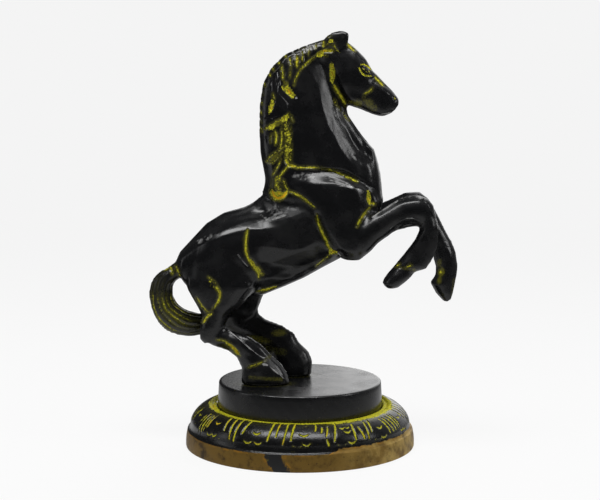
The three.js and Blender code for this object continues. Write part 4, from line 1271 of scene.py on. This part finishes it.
RIGHT_FORELEG = MarkSet(
    (
        Crease((58.5, 117.4, 53, 117.2, 47, 115.6, 40, 111.4, 36, 109), 0.6, 2.2),
        Crease((43, 104.2, 47, 107.4, 51, 108.8, 54.6, 108.6, 57.4, 106.4), 0.5, 2.4),
        # Raised ridges painted light grey as the highlights along the forearm, knee and cannon, partly rubbed
        # patina
        Line((34, 109.4, 38, 111.9, 42, 114.4, 46.4, 117.2), 0.8, -0.2, 0, 1.2, 0.8),
        Line((46.4, 117.4, 50, 119, 54, 119.4, 58, 118.6), 1.4, -0.2, 0, None, 0.55),
        Line((42.6, 104, 46.6, 107.2, 50, 109, 54, 109.1, 57.4, 107.6), 0.7, -0.2, 0, None, 0.55),
        Line((58.6, 119, 61.4, 114.4, 64.2, 108.6, 65.8, 102, 65.8, 95.6, 64.4, 91), 0.6, -0.2, 0, None, 0.5),
        *chased(0.9, 0.25, 0.85, (45.9, 86.3, 46.8, 86.9, 47.6, 87.2), (50.9, 85.5, 52.2, 86.2, 53.4, 86.4)),
        Line((54.2, 84.6, 55, 84), 0.8, 0.2, 0.7),
        Strip((45.4, 86, 49.6, 85.2, 54, 84.2), 1.4, 0.2, 0.5, Layer.HAZE),
    ),
    sides=(Facing.RIGHT,),
    inner=4,
)

FAR_FORELEG_INNER = MarkSet(
    (
        Pool((67.4, 83.4), (1.6, 2), -10, 0.2, Layer.HAZE, 2),
        Pool((67.3, 83.2), (1, 1.3), -10, 0.1, Layer.PIGMENT, 0.75),
        Pool((66.6, 79.4), (1, 2), -10, 0.1, Layer.HAZE, 1.2),
        Pool((66.4, 87.6), (1.2, 2), -10, 0.1, Layer.HAZE, 0.8),
        Line((73.8, 79.6, 73.6, 75.6, 72.9, 72), 0.8, -0.15, 0.5),
        # Light grey lines and a ridge: highlights on the far foreleg, partly rubbed patina
        *rubbed_and_highlit(0.7, 0.1, 0.5, (69, 98.2, 70.4, 97.8), (69, 95.6, 71.2, 95)),
        Line((66.2, 110, 69.4, 104.4, 72.2, 98.6, 74, 92.4), 0.6, -0.2, 0, None, 0.35),
    ),
    sides=(Facing.RIGHT,),
    outer=-4,
)

LEFT_FORELEG = MarkSet(
    (
        # A raised ridge painted light grey as the forearm's highlight, partly rubbed patina
        Line((38, 108, 43.4, 112.8, 49.2, 117, 53.1, 118.8, 58.9, 119.4), 0.9, -0.3, 0, None, 0.9),
        Line((66.6, 83.6, 68.6, 82.2, 71.4, 82), 0.9, 0.3, 0.9),
        Line((72.6, 83, 74.4, 82.2, 76.2, 82.6), 0.9, 0.3, 0.85),
    ),
    sides=(Facing.LEFT,),
    inner=4,
)


# Horse


@dataclass(frozen=True)
class Nudge:
    """A small shift of one region of the casting in the side view, between two values of y."""

    centre: Point
    radii: Point
    shift: Point
    low: float = -FAR
    high: float = FAR

    def cut(self, skin: Skin) -> None:
        """Shifts the region's points."""
        x, y, z = skin.points.T
        across, up = (x - self.centre[0]) / self.radii[0], (z - self.centre[1]) / self.radii[1]
        near = np.exp(-(across**2) - up**2)
        near = near * ease(y, self.low, self.low + 2) * (1 - ease(y, self.high - 2, self.high))
        skin.points[:, 0] += self.shift[0] * near
        skin.points[:, 2] += self.shift[1] * near


NUDGES = (
    Nudge((36, 137), (5, 13), (1, 0)),
    Nudge((-52, 72), (6, 11), (-0.8, -0.3), -FAR, 3),
    Nudge((-31.5, 58), (5.5, 7), (-4.6, 0.6), 1.5, FAR),
    Nudge((-17.5, 119.5), (4, 4), (-0.9, 0.9)),
    Nudge((42.7, 103), (7, 5), (0, -0.9), -FAR, -4),
    Nudge((33, 96.4), (6, 5), (0.4, -0.5), -FAR, -4),
    Nudge((-28.9, 39.2), (4, 7), (-0.5, -0.2), -FAR, -3),
    Nudge((-20.6, 66), (4, 7), (0.5, 0)),
    Nudge((-7.2, 56.6), (8, 5), (0.4, 0.5), 3, FAR),
)

FORM_SETS = (BODY_FORM, HEAD_FORM)
LEG_LINES = (RIGHT_LEG, LEFT_LEG_INNER, LEFT_LEG, RIGHT_FORELEG, FAR_FORELEG_INNER, LEFT_FORELEG)
LINE_SETS = (BODY_LINES, HEAD_LINES, MANE_LINES, CREST_NICKS, *LEG_LINES)


@dataclass
class Horse:
    """The horse: the body with mane, head and hind legs, two forelegs and a looped tail, brazed as one."""

    nodes: tuple[str, ...] = ("horse_body", "right_foreleg", "left_foreleg", "tail")
    mesh: float = 0.001
    sole: float = 1.2
    growth: float = 0.14
    eye_zone: tuple[float, float, float] = (30.8, 179.0, 4.2)
    fine_rounds: int = 4
    trunk_rounds: int = 11
    chest_rounds: int = 14
    arm_rounds: int = 10
    thigh: Point = (-52, 66)
    tail_front: float = -42
    tail_heights: Point = (50, 90)
    tail_aside: float = 7
    tail_reach: float = 7.4
    tail_start: float = 0.08
    tail_hairs: int = 13
    tail_cut: float = 0.5
    tail_radius: float = 5.2
    tail_run: Run = (
        -54.5, 87.5, -59.7, 83.3, -64, 80.6, -66.2, 76, -66.2, 70.7, -64.1, 65, -59.8, 60.4, -54.3, 58.4,
        -48.8, 57.6, -43.8, 57.8, -39.9, 57.9,
    )

    def cast(self) -> Skin:
        """Joins copies of the castings, as brazing does, and remeshes them.

        Returns:
            The skin of the whole horse.
        """
        copies = [copy_of(node, node + "_copy") for node in self.nodes]
        make_active(copies[0])
        for piece in copies:
            piece.select_set(True)
        bpy.ops.object.join()
        piece = bpy.context.object
        piece.name = piece.data.name = "horse_casting"
        recast(piece, self.mesh)
        top = max(piece.data.vertices, key=lambda vertex: vertex.co.z).index
        keep_linked(piece, top)
        return Skin(piece)

    def smooth(self, skin: Skin) -> None:
        """Smooths the facets of the CAD solids away, most on the trunk, and keeps the soles flat."""
        x, z = skin.points[:, 0].copy(), skin.points[:, 2].copy()
        face, hocks = ease(z, 160, 172) * ease(x, 8, 16), 1 - ease(z, 50, 62)
        ears, forelegs = ease(z, 188, 192), ease(x, 34, 42)
        fine = np.maximum.reduce([face, hocks, ears, forelegs])
        skin.relax(self.fine_rounds, 0.7 * fine)
        skin.relax(self.trunk_rounds, 1 - fine)
        y = np.abs(skin.points[:, 1])
        chest = ease(z, 86, 92) * (1 - ease(z, 112, 118))
        skin.relax(self.chest_rounds, ease(x, 14, 20) * (1 - forelegs) * chest * ease(y, 3, 6))
        skin.relax(self.arm_rounds, ease(x, 33, 39) * ease(z, 90, 96) * (1 - ease(z, 140, 150)))
        for nudge in NUDGES:
            nudge.cut(skin)
        held = ease(DRUM_HIGH.z / MM + self.sole - z, 0, self.sole)
        skin.write()
        skin.points += self.growth * skin.normals
        skin.points[:, 2] = z * held + skin.points[:, 2] * (1 - held)
        skin.write()

    def tail_zone(self, skin: Skin) -> tuple[Array, Array, Array, Array]:
        """Finds the tail.

        Args:
            skin: the horse's skin.

        Returns:
            Indices of its points, and their distance to its middle, share of its length and side.
        """
        x, y, z = skin.points.T
        low, high = self.tail_heights
        index = np.flatnonzero((x < self.tail_front) & (z > low) & (z < high) & (np.abs(y) < self.tail_aside))
        distance, share, signed = along(rounded(self.tail_run, 6), x[index], z[index])
        thigh = (x[index] > self.thigh[0]) & (z[index] > self.thigh[1])
        inside = (distance < self.tail_reach) & (share > self.tail_start) & ~thigh
        return index[inside], distance[inside], share[inside], signed[inside]

    def comb(self, skin: Skin) -> None:
        """Cuts the hairs of the tail, with olive pigment left low down."""
        index, _, share, signed = self.tail_zone(skin)
        angle = np.arctan2(skin.points[index, 1] - 1.4 * share, signed)
        wander = 0.5 * np.sin(9 * share + 2 * angle) + 0.3 * np.sin(23 * share)
        turn = self.tail_hairs * angle + 2.4 * wander
        aside = np.arccos(np.clip(-np.cos(turn), -1, 1)) / self.tail_hairs * self.tail_radius
        fine = np.cos((2 * self.tail_hairs + 3) * angle + 3 * wander)
        hairy = ease(share, 0.14, 0.3) * (1 - ease(share, 0.93, 1))
        groove = np.clip(1 - (aside / 0.75) ** 2, 0, 1)
        skin.push(index, -hairy * (self.tail_cut * groove + 0.1 * (0.5 - 0.5 * fine)))
        low = ease(share, 0.3, 0.44) * (1 - ease(share, 0.6, 0.86))
        strength = 0.2 + 0.8 * np.sin(2.1 * np.round(turn / math.tau) + 1) ** 2
        level = 1 + (0.5 - aside) / FRINGE - 0.75 * (1 - low * strength)
        skin.paint(Layer.PIGMENT, index, np.clip(level, 0, 3) * hairy * ease(low, 0.05, 0.3))
        skin.paint(Layer.HAZE, index, hairy * (0.2 + 1.15 * low * strength) * (1 - ease(aside, 0.3, 1.5)))

    def refine(self, skin: Skin) -> None:
        """Makes the mesh finer where marks will be cut, and finer still at the eye."""
        wanted = np.zeros(len(skin.points), dtype=bool)
        for marks in FORM_SETS + LINE_SETS:
            wanted |= marks.touched(skin)
        wanted[self.tail_zone(skin)[0]] = True
        skin.split(wanted)
        x, z = skin.points[:, 0], skin.points[:, 2]
        eye_x, eye_z, eye_reach = self.eye_zone
        skin.split(np.hypot(x - eye_x, z - eye_z) < eye_reach)
        skin.relax(2, 0.6)
        skin.write()

    def carve(self, skin: Skin) -> None:
        """Shapes the forms, and then cuts the lines and the tail's hairs."""
        for marks in FORM_SETS:
            marks.cut(skin)
            skin.write()
        skin.relax(3, 0.6)
        skin.write()
        for marks in LINE_SETS:
            marks.cut(skin)
        skin.write()
        self.comb(skin)
        skin.write()

    def build(self, finish: Material) -> None:
        """Builds and dresses the horse.

        Args:
            finish: its material.
        """
        skin = self.cast()
        self.smooth(skin)
        self.refine(skin)
        self.carve(skin)
        piece = skin.piece
        coat(piece, finish)
        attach(piece, "root")
        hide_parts(*self.nodes)


# Base


@dataclass
class Drum:
    """The turned drum that the horse stands on."""

    edge_round: float = 0.0010
    wall: float = 0.006
    top_thickness: float = 0.004
    draft: float = 0.0006
    steps: int = 240
    hoof_places: tuple[Point, ...] = ((-16.2, -10.0), (-4.6, 11.0))

    def outline(self) -> list[Point]:
        """Returns the closed section, from the middle of the underside round to the middle of the top."""
        foot = (DRUM_HIGH.x - DRUM_LOW.x) / 2
        top_radius = foot - self.draft
        low, high = DRUM_LOW.z, DRUM_HIGH.z
        bore = foot - self.wall
        under = high - self.top_thickness
        rise = high - self.edge_round - low
        side = [(foot - self.draft * t**1.6, low + rise * t) for t in np.linspace(0, 1, 9)]
        edge = self.edge_round
        turns = np.radians([22, 45, 68, 90])
        corner = [(top_radius - edge * (1 - math.cos(a)), high - edge * (1 - math.sin(a))) for a in turns]
        flat = [(float(r), high) for r in np.linspace(top_radius - 1.6 * edge, 0, 22)]
        inside = [(0.0, under), (bore - 0.0015, under), (bore, under - 0.0015), (bore, low)]
        return inside + side + corner + flat

    def build(self, finish: Material) -> None:
        """Builds the drum and dresses it."""
        piece = turned("drum_turning", self.outline(), self.steps)
        skin = Skin(piece)
        everywhere = np.arange(len(skin.points))
        top = ease(skin.points[:, 2], DRUM_HIGH.z / MM - 0.4, DRUM_HIGH.z / MM - 0.1)
        for x, y in self.hoof_places:
            around = np.hypot((skin.points[:, 0] - x) / 1.75, skin.points[:, 1] - y)
            skin.paint(Layer.HAZE, everywhere, (1 - ease(around, 6.0, 9.5)) * top)
        foot = 1 - ease(skin.points[:, 2], 19.5, 21.5)
        skin.paint(Layer.HAZE, everywhere, 0.8 * foot)
        skin.write()
        coat(piece, finish, 40)
        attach(piece, "root")
        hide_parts("plinth_drum")


Cut = tuple[float, float, float, float]
Scallop = tuple[float, float, float]

# Engraved strokes in groups round the border. Each group has its middle in degrees from the front toward
# the right, and strokes from an offset in degrees and a distance down the section to another such pair.
STROKE_GROUPS: tuple[tuple[float, tuple[Cut, ...]], ...] = (
    (
        -62,
        (
            (-4.8, 8.5, -5.4, 12.5), (-2.4, 6.5, -2.2, 16.5), (0.2, 6.2, 0.6, 17), (2.4, 6.5, 2.6, 15.5),
            (4.6, 5.5, 4.8, 13.5),
        ),
    ),
    (-36, ((-9.6, 2, -7.1, 12.5), (-4.6, 2, -2, 16), (0.2, 2, 0.8, 16.5), (6.6, 2.5, 4.8, 12.5))),
    (-9, ((-6, 1, -7.6, 14.5), (-1.8, 1, -3.4, 12.5), (2.4, 1, 0.4, 16), (6.8, 2, 4.4, 14))),
    (
        14.5,
        (
            (-5.4, 5.2, -6.4, 9.2), (-2.5, 7, -3.2, 10.2), (0.8, 6.8, -0.9, 12.2), (-0.9, 13.9, 0, 19),
            (6.2, 4.6, 2.9, 15),
        ),
    ),
    (36, ((-5.9, 6.6, -6.8, 15), (-3, 9, -1.7, 15.2), (2.8, 6.4, 1.1, 15.8), (6, 5.8, 4.2, 12.6))),
    (
        58,
        (
            (-6.6, 6.8, -4.8, 15.2), (-3.8, 6.6, -1.6, 15.2), (-0.2, 6.6, 1.2, 14.8), (3.2, 6.6, 4.2, 14.6),
            (5.8, 7, 6, 14.6),
        ),
    ),
)

# Punched scallops between the groups: degrees, distance down, half width in degrees
SCALLOPS: tuple[Scallop, ...] = (
    (-74, 10, 1.8), (-50.8, 9.9, 2), (-53.4, 16.4, 1.9), (-49.4, 16, 1.9), (-23.1, 11.6, 2), (-27, 16.1, 2),
    (-21.4, 16.1, 2), (2.1, 11.4, 2.6), (-1.4, 17.1, 2), (3.2, 16, 2), (25.7, 10.9, 1.9), (23.4, 8.6, 1.3),
    (26.6, 8.4, 1.3), (21.3, 17.3, 2.2), (26.9, 16.2, 2), (46.9, 11.6, 2), (43.3, 17.2, 2.2), (47.5, 16.4, 2),
    (68.9, 10.2, 1.9), (65.5, 16.4, 1.9), (69.5, 16.6, 1.9),
)


def past_middle(turn: Array, middle: float) -> Array:
    """Returns how many degrees past a middle each place lies, from -180 to 180."""
    return (turn - middle + 180) % 360 - 180


@dataclass
class FootRing:
    """The foot ring: bare band, cove, convex border with engraving, lip and shelf."""

    band_height: float = 8.3
    band_draft: float = 0.7
    step_width: float = 2.3
    step_height: float = 3.2
    border_width: float = 9.2
    border_rise: float = 8.2
    fullness: float = 1.6
    lip_width: float = 3.6
    wall: float = 4.0
    shelf_width: float = 6.4
    shelf_thickness: float = 3.0
    rows: int = 56
    steps: int = 900
    pitch: float = 24.0
    unseen_groups: int = 9
    stroke_width: float = 0.88
    stroke_depth: float = 0.4
    scallop_width: float = 0.62
    scallop_depth: float = 0.3

    def __post_init__(self) -> None:
        """Works out the radii and heights from the CAD ring, in millimetres."""
        self.foot = (RING_HIGH.x - RING_LOW.x) / 2 / MM
        self.border_foot = self.foot - self.step_width
        self.border_top = self.border_foot - self.border_width
        self.lip = self.border_top - self.lip_width
        self.cove = self.band_height + self.step_height
        self.top = self.cove + self.border_rise
        self.shelf = DRUM_LOW.z / MM

    def border(self, count: int) -> list[Point]:
        """The border's section from its foot to its top.

        Args:
            count: the number of spans.

        Returns:
            Radius and height of each point in millimetres.
        """
        power = 2 / self.fullness
        angles = [math.pi / 2 * (i / count) for i in range(count + 1)]
        out = [self.border_top + self.border_width * max(0.0, math.cos(a)) ** power for a in angles]
        up = [self.cove + self.border_rise * math.sin(a) ** power for a in angles]
        return list(zip(out, up))

    def outline(self) -> list[Point]:
        """Returns the closed section in metres."""
        foot, band_top = self.foot, self.foot - self.band_draft
        band = [
            (foot - self.wall, 0.0),
            (foot - 0.5, 0.0),
            (foot - 0.12, 0.15),
            (foot, 0.6),
            (foot, 0.3 * self.band_height),
            (foot - 0.25 * self.band_draft, 0.6 * self.band_height),
            (band_top, self.band_height - 0.5),
            (band_top - 0.15, self.band_height - 0.12),
            (band_top - 0.5, self.band_height),
            (self.border_foot + 0.75, self.band_height + 0.35),
            (self.border_foot + 0.35, self.band_height + 1.1),
            (self.border_foot + 0.15, self.cove - 0.9),
        ]
        lip_top = self.top - 0.4
        lip = [
            (self.border_top - 0.35, self.top - 0.03),
            (self.border_top - 0.9, self.top - 0.12),
            (self.lip + 2.5, lip_top - 0.02),
            (self.lip + 2.2, lip_top - 0.42),
            (self.lip + 1.9, lip_top - 0.46),
            (self.lip + 1.6, lip_top - 0.05),
            (self.lip + 1.0, lip_top),
            (self.lip + 0.35, lip_top - 0.05),
            (self.lip, lip_top - 0.4),
        ]
        bore = self.lip - self.shelf_width
        under = self.shelf - self.shelf_thickness
        inside = [
            (self.lip, self.shelf),
            (bore, self.shelf),
            (bore, under),
            (self.lip, under),
            (self.border_foot - self.wall, 0.5 * under),
            (foot - self.wall, 0.0),
        ]
        return [(r * MM, z * MM) for r, z in band + self.border(self.rows) + lip + inside]

    def unroll(self, skin: Skin) -> tuple[Array, Array, Array, Array]:
        """Lays the lip and the border flat.

        Args:
            skin: the ring's skin.

        Returns:
            Degrees from the front, distance down from the lip's inner edge, millimetres per degree, and
            1 on the face that is engraved.
        """
        run = np.array(self.border(self.rows))[::-1]
        spans = np.concatenate([[0], np.cumsum(np.linalg.norm(np.diff(run, axis=0), axis=1))])
        x, y, z = skin.points.T
        radius = np.hypot(x, y)
        on_lip = np.clip(radius - self.lip, 0, self.lip_width)
        down = self.lip_width + np.interp(-z, -run[:, 1], spans)
        down = np.where(radius < self.border_top, on_lip, down)
        face = (z >= self.cove - 0.05) & (radius > self.lip - 0.05)
        return np.degrees(np.arctan2(x, -y)), down, np.radians(1) * radius, face.astype(float)

    def strokes(self) -> list[Cut]:
        """Returns every stroke's ends, with the unseen groups after the pattern of the seen ones."""
        groups = list(STROKE_GROUPS)
        for k in range(self.unseen_groups):
            pattern = STROKE_GROUPS[(2 * k + 1) % len(STROKE_GROUPS)][1]
            groups.append((STROKE_GROUPS[-1][0] + self.pitch * (k + 1), pattern))
        return [(middle + a, start, middle + b, end) for middle, cuts in groups for a, start, b, end in cuts]

    def scallops(self) -> list[Scallop]:
        """Returns every scallop, with three between each two of the unseen groups."""
        last = STROKE_GROUPS[-1][0]
        middles = [last + self.pitch * (k + 1.5) for k in range(self.unseen_groups - 1)]
        places = ((0, 11.0), (-2.6, 16.6), (2.4, 16.2))
        unseen = [(m + aside, down, 2.0) for m in middles for aside, down in places]
        return [*SCALLOPS, *unseen]

    def fill(self, skin: Skin, index: Array, distance: Array, half: Array, strength: float) -> Array:
        """Leaves pigment in a stroke, and haze beside it.

        Args:
            skin: the ring's skin.
            index: the indices of the points near the stroke.
            distance: their distance to its middle.
            half: half its width at each of them.
            strength: how much pigment it holds, from 0 to 1.

        Returns:
            How far each point lies down in the stroke, from 0 to 1.
        """
        skin.paint(Layer.PIGMENT, index, pigment_level(half - distance, strength))
        skin.paint(Layer.HAZE, index, 0.5 * (1 - ease(distance - half, 0, 0.9)))
        return np.clip(1 - (distance / (half + 0.15)) ** 2, 0, 1)

    def engrave(self, skin: Skin) -> None:
        """Cuts the strokes and the scallops, and leaves pigment in them and on the lip.

        Args:
            skin: the ring's skin.
        """
        turn, down, arc, face = self.unroll(skin)
        depth = np.zeros(len(turn))
        for top, start, foot, end in self.strokes():
            middle = 0.5 * (top + foot)
            aside = past_middle(turn, middle)
            index = np.flatnonzero((np.abs(aside) < 6) & (down > start - 1) & (down < end + 1) & (face > 0))
            share = np.clip((down[index] - start) / (end - start), 0, 1)
            bow = 0.5 * math.sin(2.3 * middle) * share * (1 - share) * 2
            centre = (top - middle) + (foot - top) * share + bow
            past = np.maximum(start - down[index], down[index] - end)
            distance = np.hypot((aside[index] - centre) * arc[index], np.clip(past, 0, None))
            half = 0.5 * self.stroke_width * (0.45 + 0.85 * np.sqrt(share * (1 - share) + 0.01))
            half = half * (1 + 0.12 * math.sin(5.1 * middle))
            hollow = self.stroke_depth * self.fill(skin, index, distance, half, 1.0)
            depth[index] = np.maximum(depth[index], hollow)
        for middle, level, wide in self.scallops():
            aside = past_middle(turn, middle)
            index = np.flatnonzero((np.abs(aside) < wide + 1.5) & (np.abs(down - level) < 3) & (face > 0))
            across = aside[index] / wide
            sag = level + 0.45 * wide * (0.35 - np.clip(across, -1, 1) ** 2)
            over = (np.clip(np.abs(across), 1, None) - 1) * wide * arc[index]
            distance = np.hypot(down[index] - sag, over)
            half = 0.5 * self.scallop_width * (0.55 + 0.6 * np.sqrt(np.clip(1 - across**2, 0, 1)))
            hollow = self.scallop_depth * self.fill(skin, index, distance, half, 0.95)
            depth[index] = np.maximum(depth[index], hollow)
        skin.points -= skin.normals * depth[:, None]
        self.smear(skin)

    def smear(self, skin: Skin) -> None:
        """Leaves pigment on the lip and along the border's upper edge, most on the front right."""
        turn, down, _, face = self.unroll(skin)
        everywhere = np.arange(len(turn))
        right = ease(turn, 8, 18) * (1 - ease(turn, 82, 110))
        left = 1 - ease(turn, -52, -36)
        channel = np.exp(-(((down - 1.6 - 0.7 * left) / (0.9 + 0.6 * left)) ** 4)) * face
        patchy = 0.13 * np.sin(0.31 * turn + 1) + 0.13 * np.sin(0.83 * turn) * np.sin(0.11 * turn)
        skin.paint(Layer.PIGMENT, everywhere, (0.93 + 1.3 * patchy + 0.12 * right + 0.16 * left) * channel)
        lip = (1 - ease(np.abs(down - 2.0), 1.4, 3.2)) * face
        skin.paint(Layer.STIPPLE, everywhere, lip * np.clip(0.8 + 0.2 * right, 0, 1))
        upper = (1 - ease(down, 3.6, 6.6)) * face
        skin.paint(Layer.STIPPLE, everywhere, upper * right)
        skin.paint(Layer.HAZE, everywhere, (0.35 + 0.6 * right) * (1 - ease(down, 4.0, 8.5)) * face)

    def build(self, finish: Material) -> None:
        """Builds the ring and dresses it."""
        piece = turned("foot_ring_turning", self.outline(), self.steps)
        skin = Skin(piece)
        self.engrave(skin)
        skin.write()
        coat(piece, finish, 50)
        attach(piece, "root")
        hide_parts("foot_ring")


@dataclass
class Fixings:
    """The studs, nuts, washers and screws underneath, which keep their CAD meshes."""

    words: tuple[str, ...] = ("stud", "nut", "washer", "screw")

    def build(self, finish: Material) -> None:
        """Gives each fixing its finish."""
        for name, node in frame["nodes"].items():
            if any(word in name for word in self.words):
                node.data.materials.clear()
                node.data.materials.append(finish)
                log.info("%s keeps its CAD mesh", name)


# Studio


def grey(level: float) -> Colour:
    """Returns a neutral colour."""
    return (level, level, level, 1)


@dataclass
class Studio:
    """A plain pale floor and background, soft lamps and the camera."""

    floor_size: float = 6.0
    floor_level: float = 0.985
    wall_level: float = 0.905
    floor_glow: float = 0.88
    pool_of_light: float = 0.09
    unlit_level: float = 0.05
    matte_level: float = 0.8
    dim_level: float = 0.045

    def floor(self) -> None:
        """Lays the floor, which keeps the figurine's shadow and fades into the background far off."""
        deselect_all()
        bpy.ops.mesh.primitive_plane_add(size=self.floor_size, location=(0, 0, 0))
        floor = bpy.context.object
        floor.name = "studio_floor"
        tree = ShaderTree(bpy.data.materials.new("pale_floor"))
        rays = tree.add("LightPath").outputs
        kinds = ("Camera", "Glossy", "Transmission")
        camera, mirror, glass = (Value(tree, rays[f"Is {kind} Ray"]) for kind in kinds)
        matte = tree.add("BsdfDiffuse", {"Color": grey(self.matte_level)})
        away = tree.value("VectorMath", "Value", {0: tree.place()}, operation="LENGTH")
        far = away.step(0.12, 1.1)
        lit = away.step(self.pool_of_light, 3.2 * self.pool_of_light).blend(0.62, self.unlit_level)
        pale = tree.mix(far, grey(self.floor_level), grey(self.wall_level))
        glow = tree.add("Emission", {"Color": pale, "Strength": camera.most(lit)})
        share = camera.most(mirror.most(glass)) * far.blend(self.floor_glow, 1.0)
        mixed = tree.add("MixShader", {0: share, 1: matte.outputs[0], 2: glow.outputs[0]})
        tree.add("OutputMaterial", {"Surface": mixed.outputs[0]})
        floor.data.materials.append(tree.owner)

    def world(self) -> None:
        """Makes the background: pale to the eye, and dim where the camera's side is reflected."""
        world = bpy.data.worlds.new("pale_room")
        bpy.context.scene.world = world
        tree = ShaderTree(world)
        axes = tree.add("SeparateXYZ", {0: tree.add("TexCoord").outputs["Generated"]})
        x, y = Value(tree, axes.outputs["X"]), Value(tree, axes.outputs["Y"])
        behind = y.step(0.0, 0.7)
        left = x.step(-0.08, 0.08).blend(0.0, 1.75)
        right = x.step(0.25, 0.70).blend(1.0, 0.25)
        strength = behind * (left * right) + self.dim_level
        lit = tree.add("Background", {"Color": grey(1.0), "Strength": strength})
        seen = tree.add("Background", {"Color": grey(self.wall_level)})
        camera = tree.value("LightPath", "Is Camera Ray")
        mixed = tree.add("MixShader", {0: camera, 1: lit.outputs[0], 2: seen.outputs[0]})
        tree.add("OutputWorld", {"Surface": mixed.outputs[0]})

    def lamp(self, name: str, place: Vector, size: Point, watts: float) -> None:
        """Hangs a soft lamp that points at the figurine's middle.

        Args:
            name: the lamp's name.
            place: where it hangs.
            size: its width and height.
            watts: its power.
        """
        deselect_all()
        bpy.ops.object.light_add(type="AREA", location=place)
        lamp = bpy.context.object
        lamp.name = name
        lamp.data.shape = "RECTANGLE"
        lamp.data.size, lamp.data.size_y = size
        lamp.data.energy = watts
        toward = Vector((0, 0, 0.10)) - place
        lamp.rotation_euler = toward.to_track_quat("-Z", "Y").to_euler()

    def camera(self) -> None:
        """Stands the camera where the photograph was taken from."""
        deselect_all()
        place = (AXIS_X, -EYE_DISTANCE, EYE_HEIGHT)
        bpy.ops.object.camera_add(location=place, rotation=(math.pi / 2 - EYE_TILT, 0, 0))
        camera = bpy.context.object
        camera.name = "camera"
        camera.data.lens = EYE_LENS
        camera.data.sensor_width = 36
        camera.data.clip_end = 20
        bpy.context.scene.camera = camera

    def build(self) -> None:
        """Builds the whole studio."""
        self.camera()
        self.floor()
        self.world()
        self.lamp("top_softbox", Vector((-0.09, -0.33, 1.07)), (1.06, 0.32), 10.6)
        self.lamp("right_softbox", Vector((0.93, -0.28, 0.55)), (0.22, 0.50), 2.0)
        self.lamp("left_softbox", Vector((-0.95, -0.10, 0.30)), (0.25, 0.60), 0.6)
        bpy.context.scene.view_settings.view_transform = "Standard"


def main() -> None:
    """Builds the studio and the figurine."""
    logging.basicConfig(level=logging.INFO, format="%(message)s")
    Studio().build()
    patina = Patina().make()
    Horse().build(patina)
    Drum().build(TurnedPatina().make())
    FootRing().build(EnamelOverBrass().make())
    Fixings().build(ZincPlate().make())


if __name__ == "__main__":
    main()
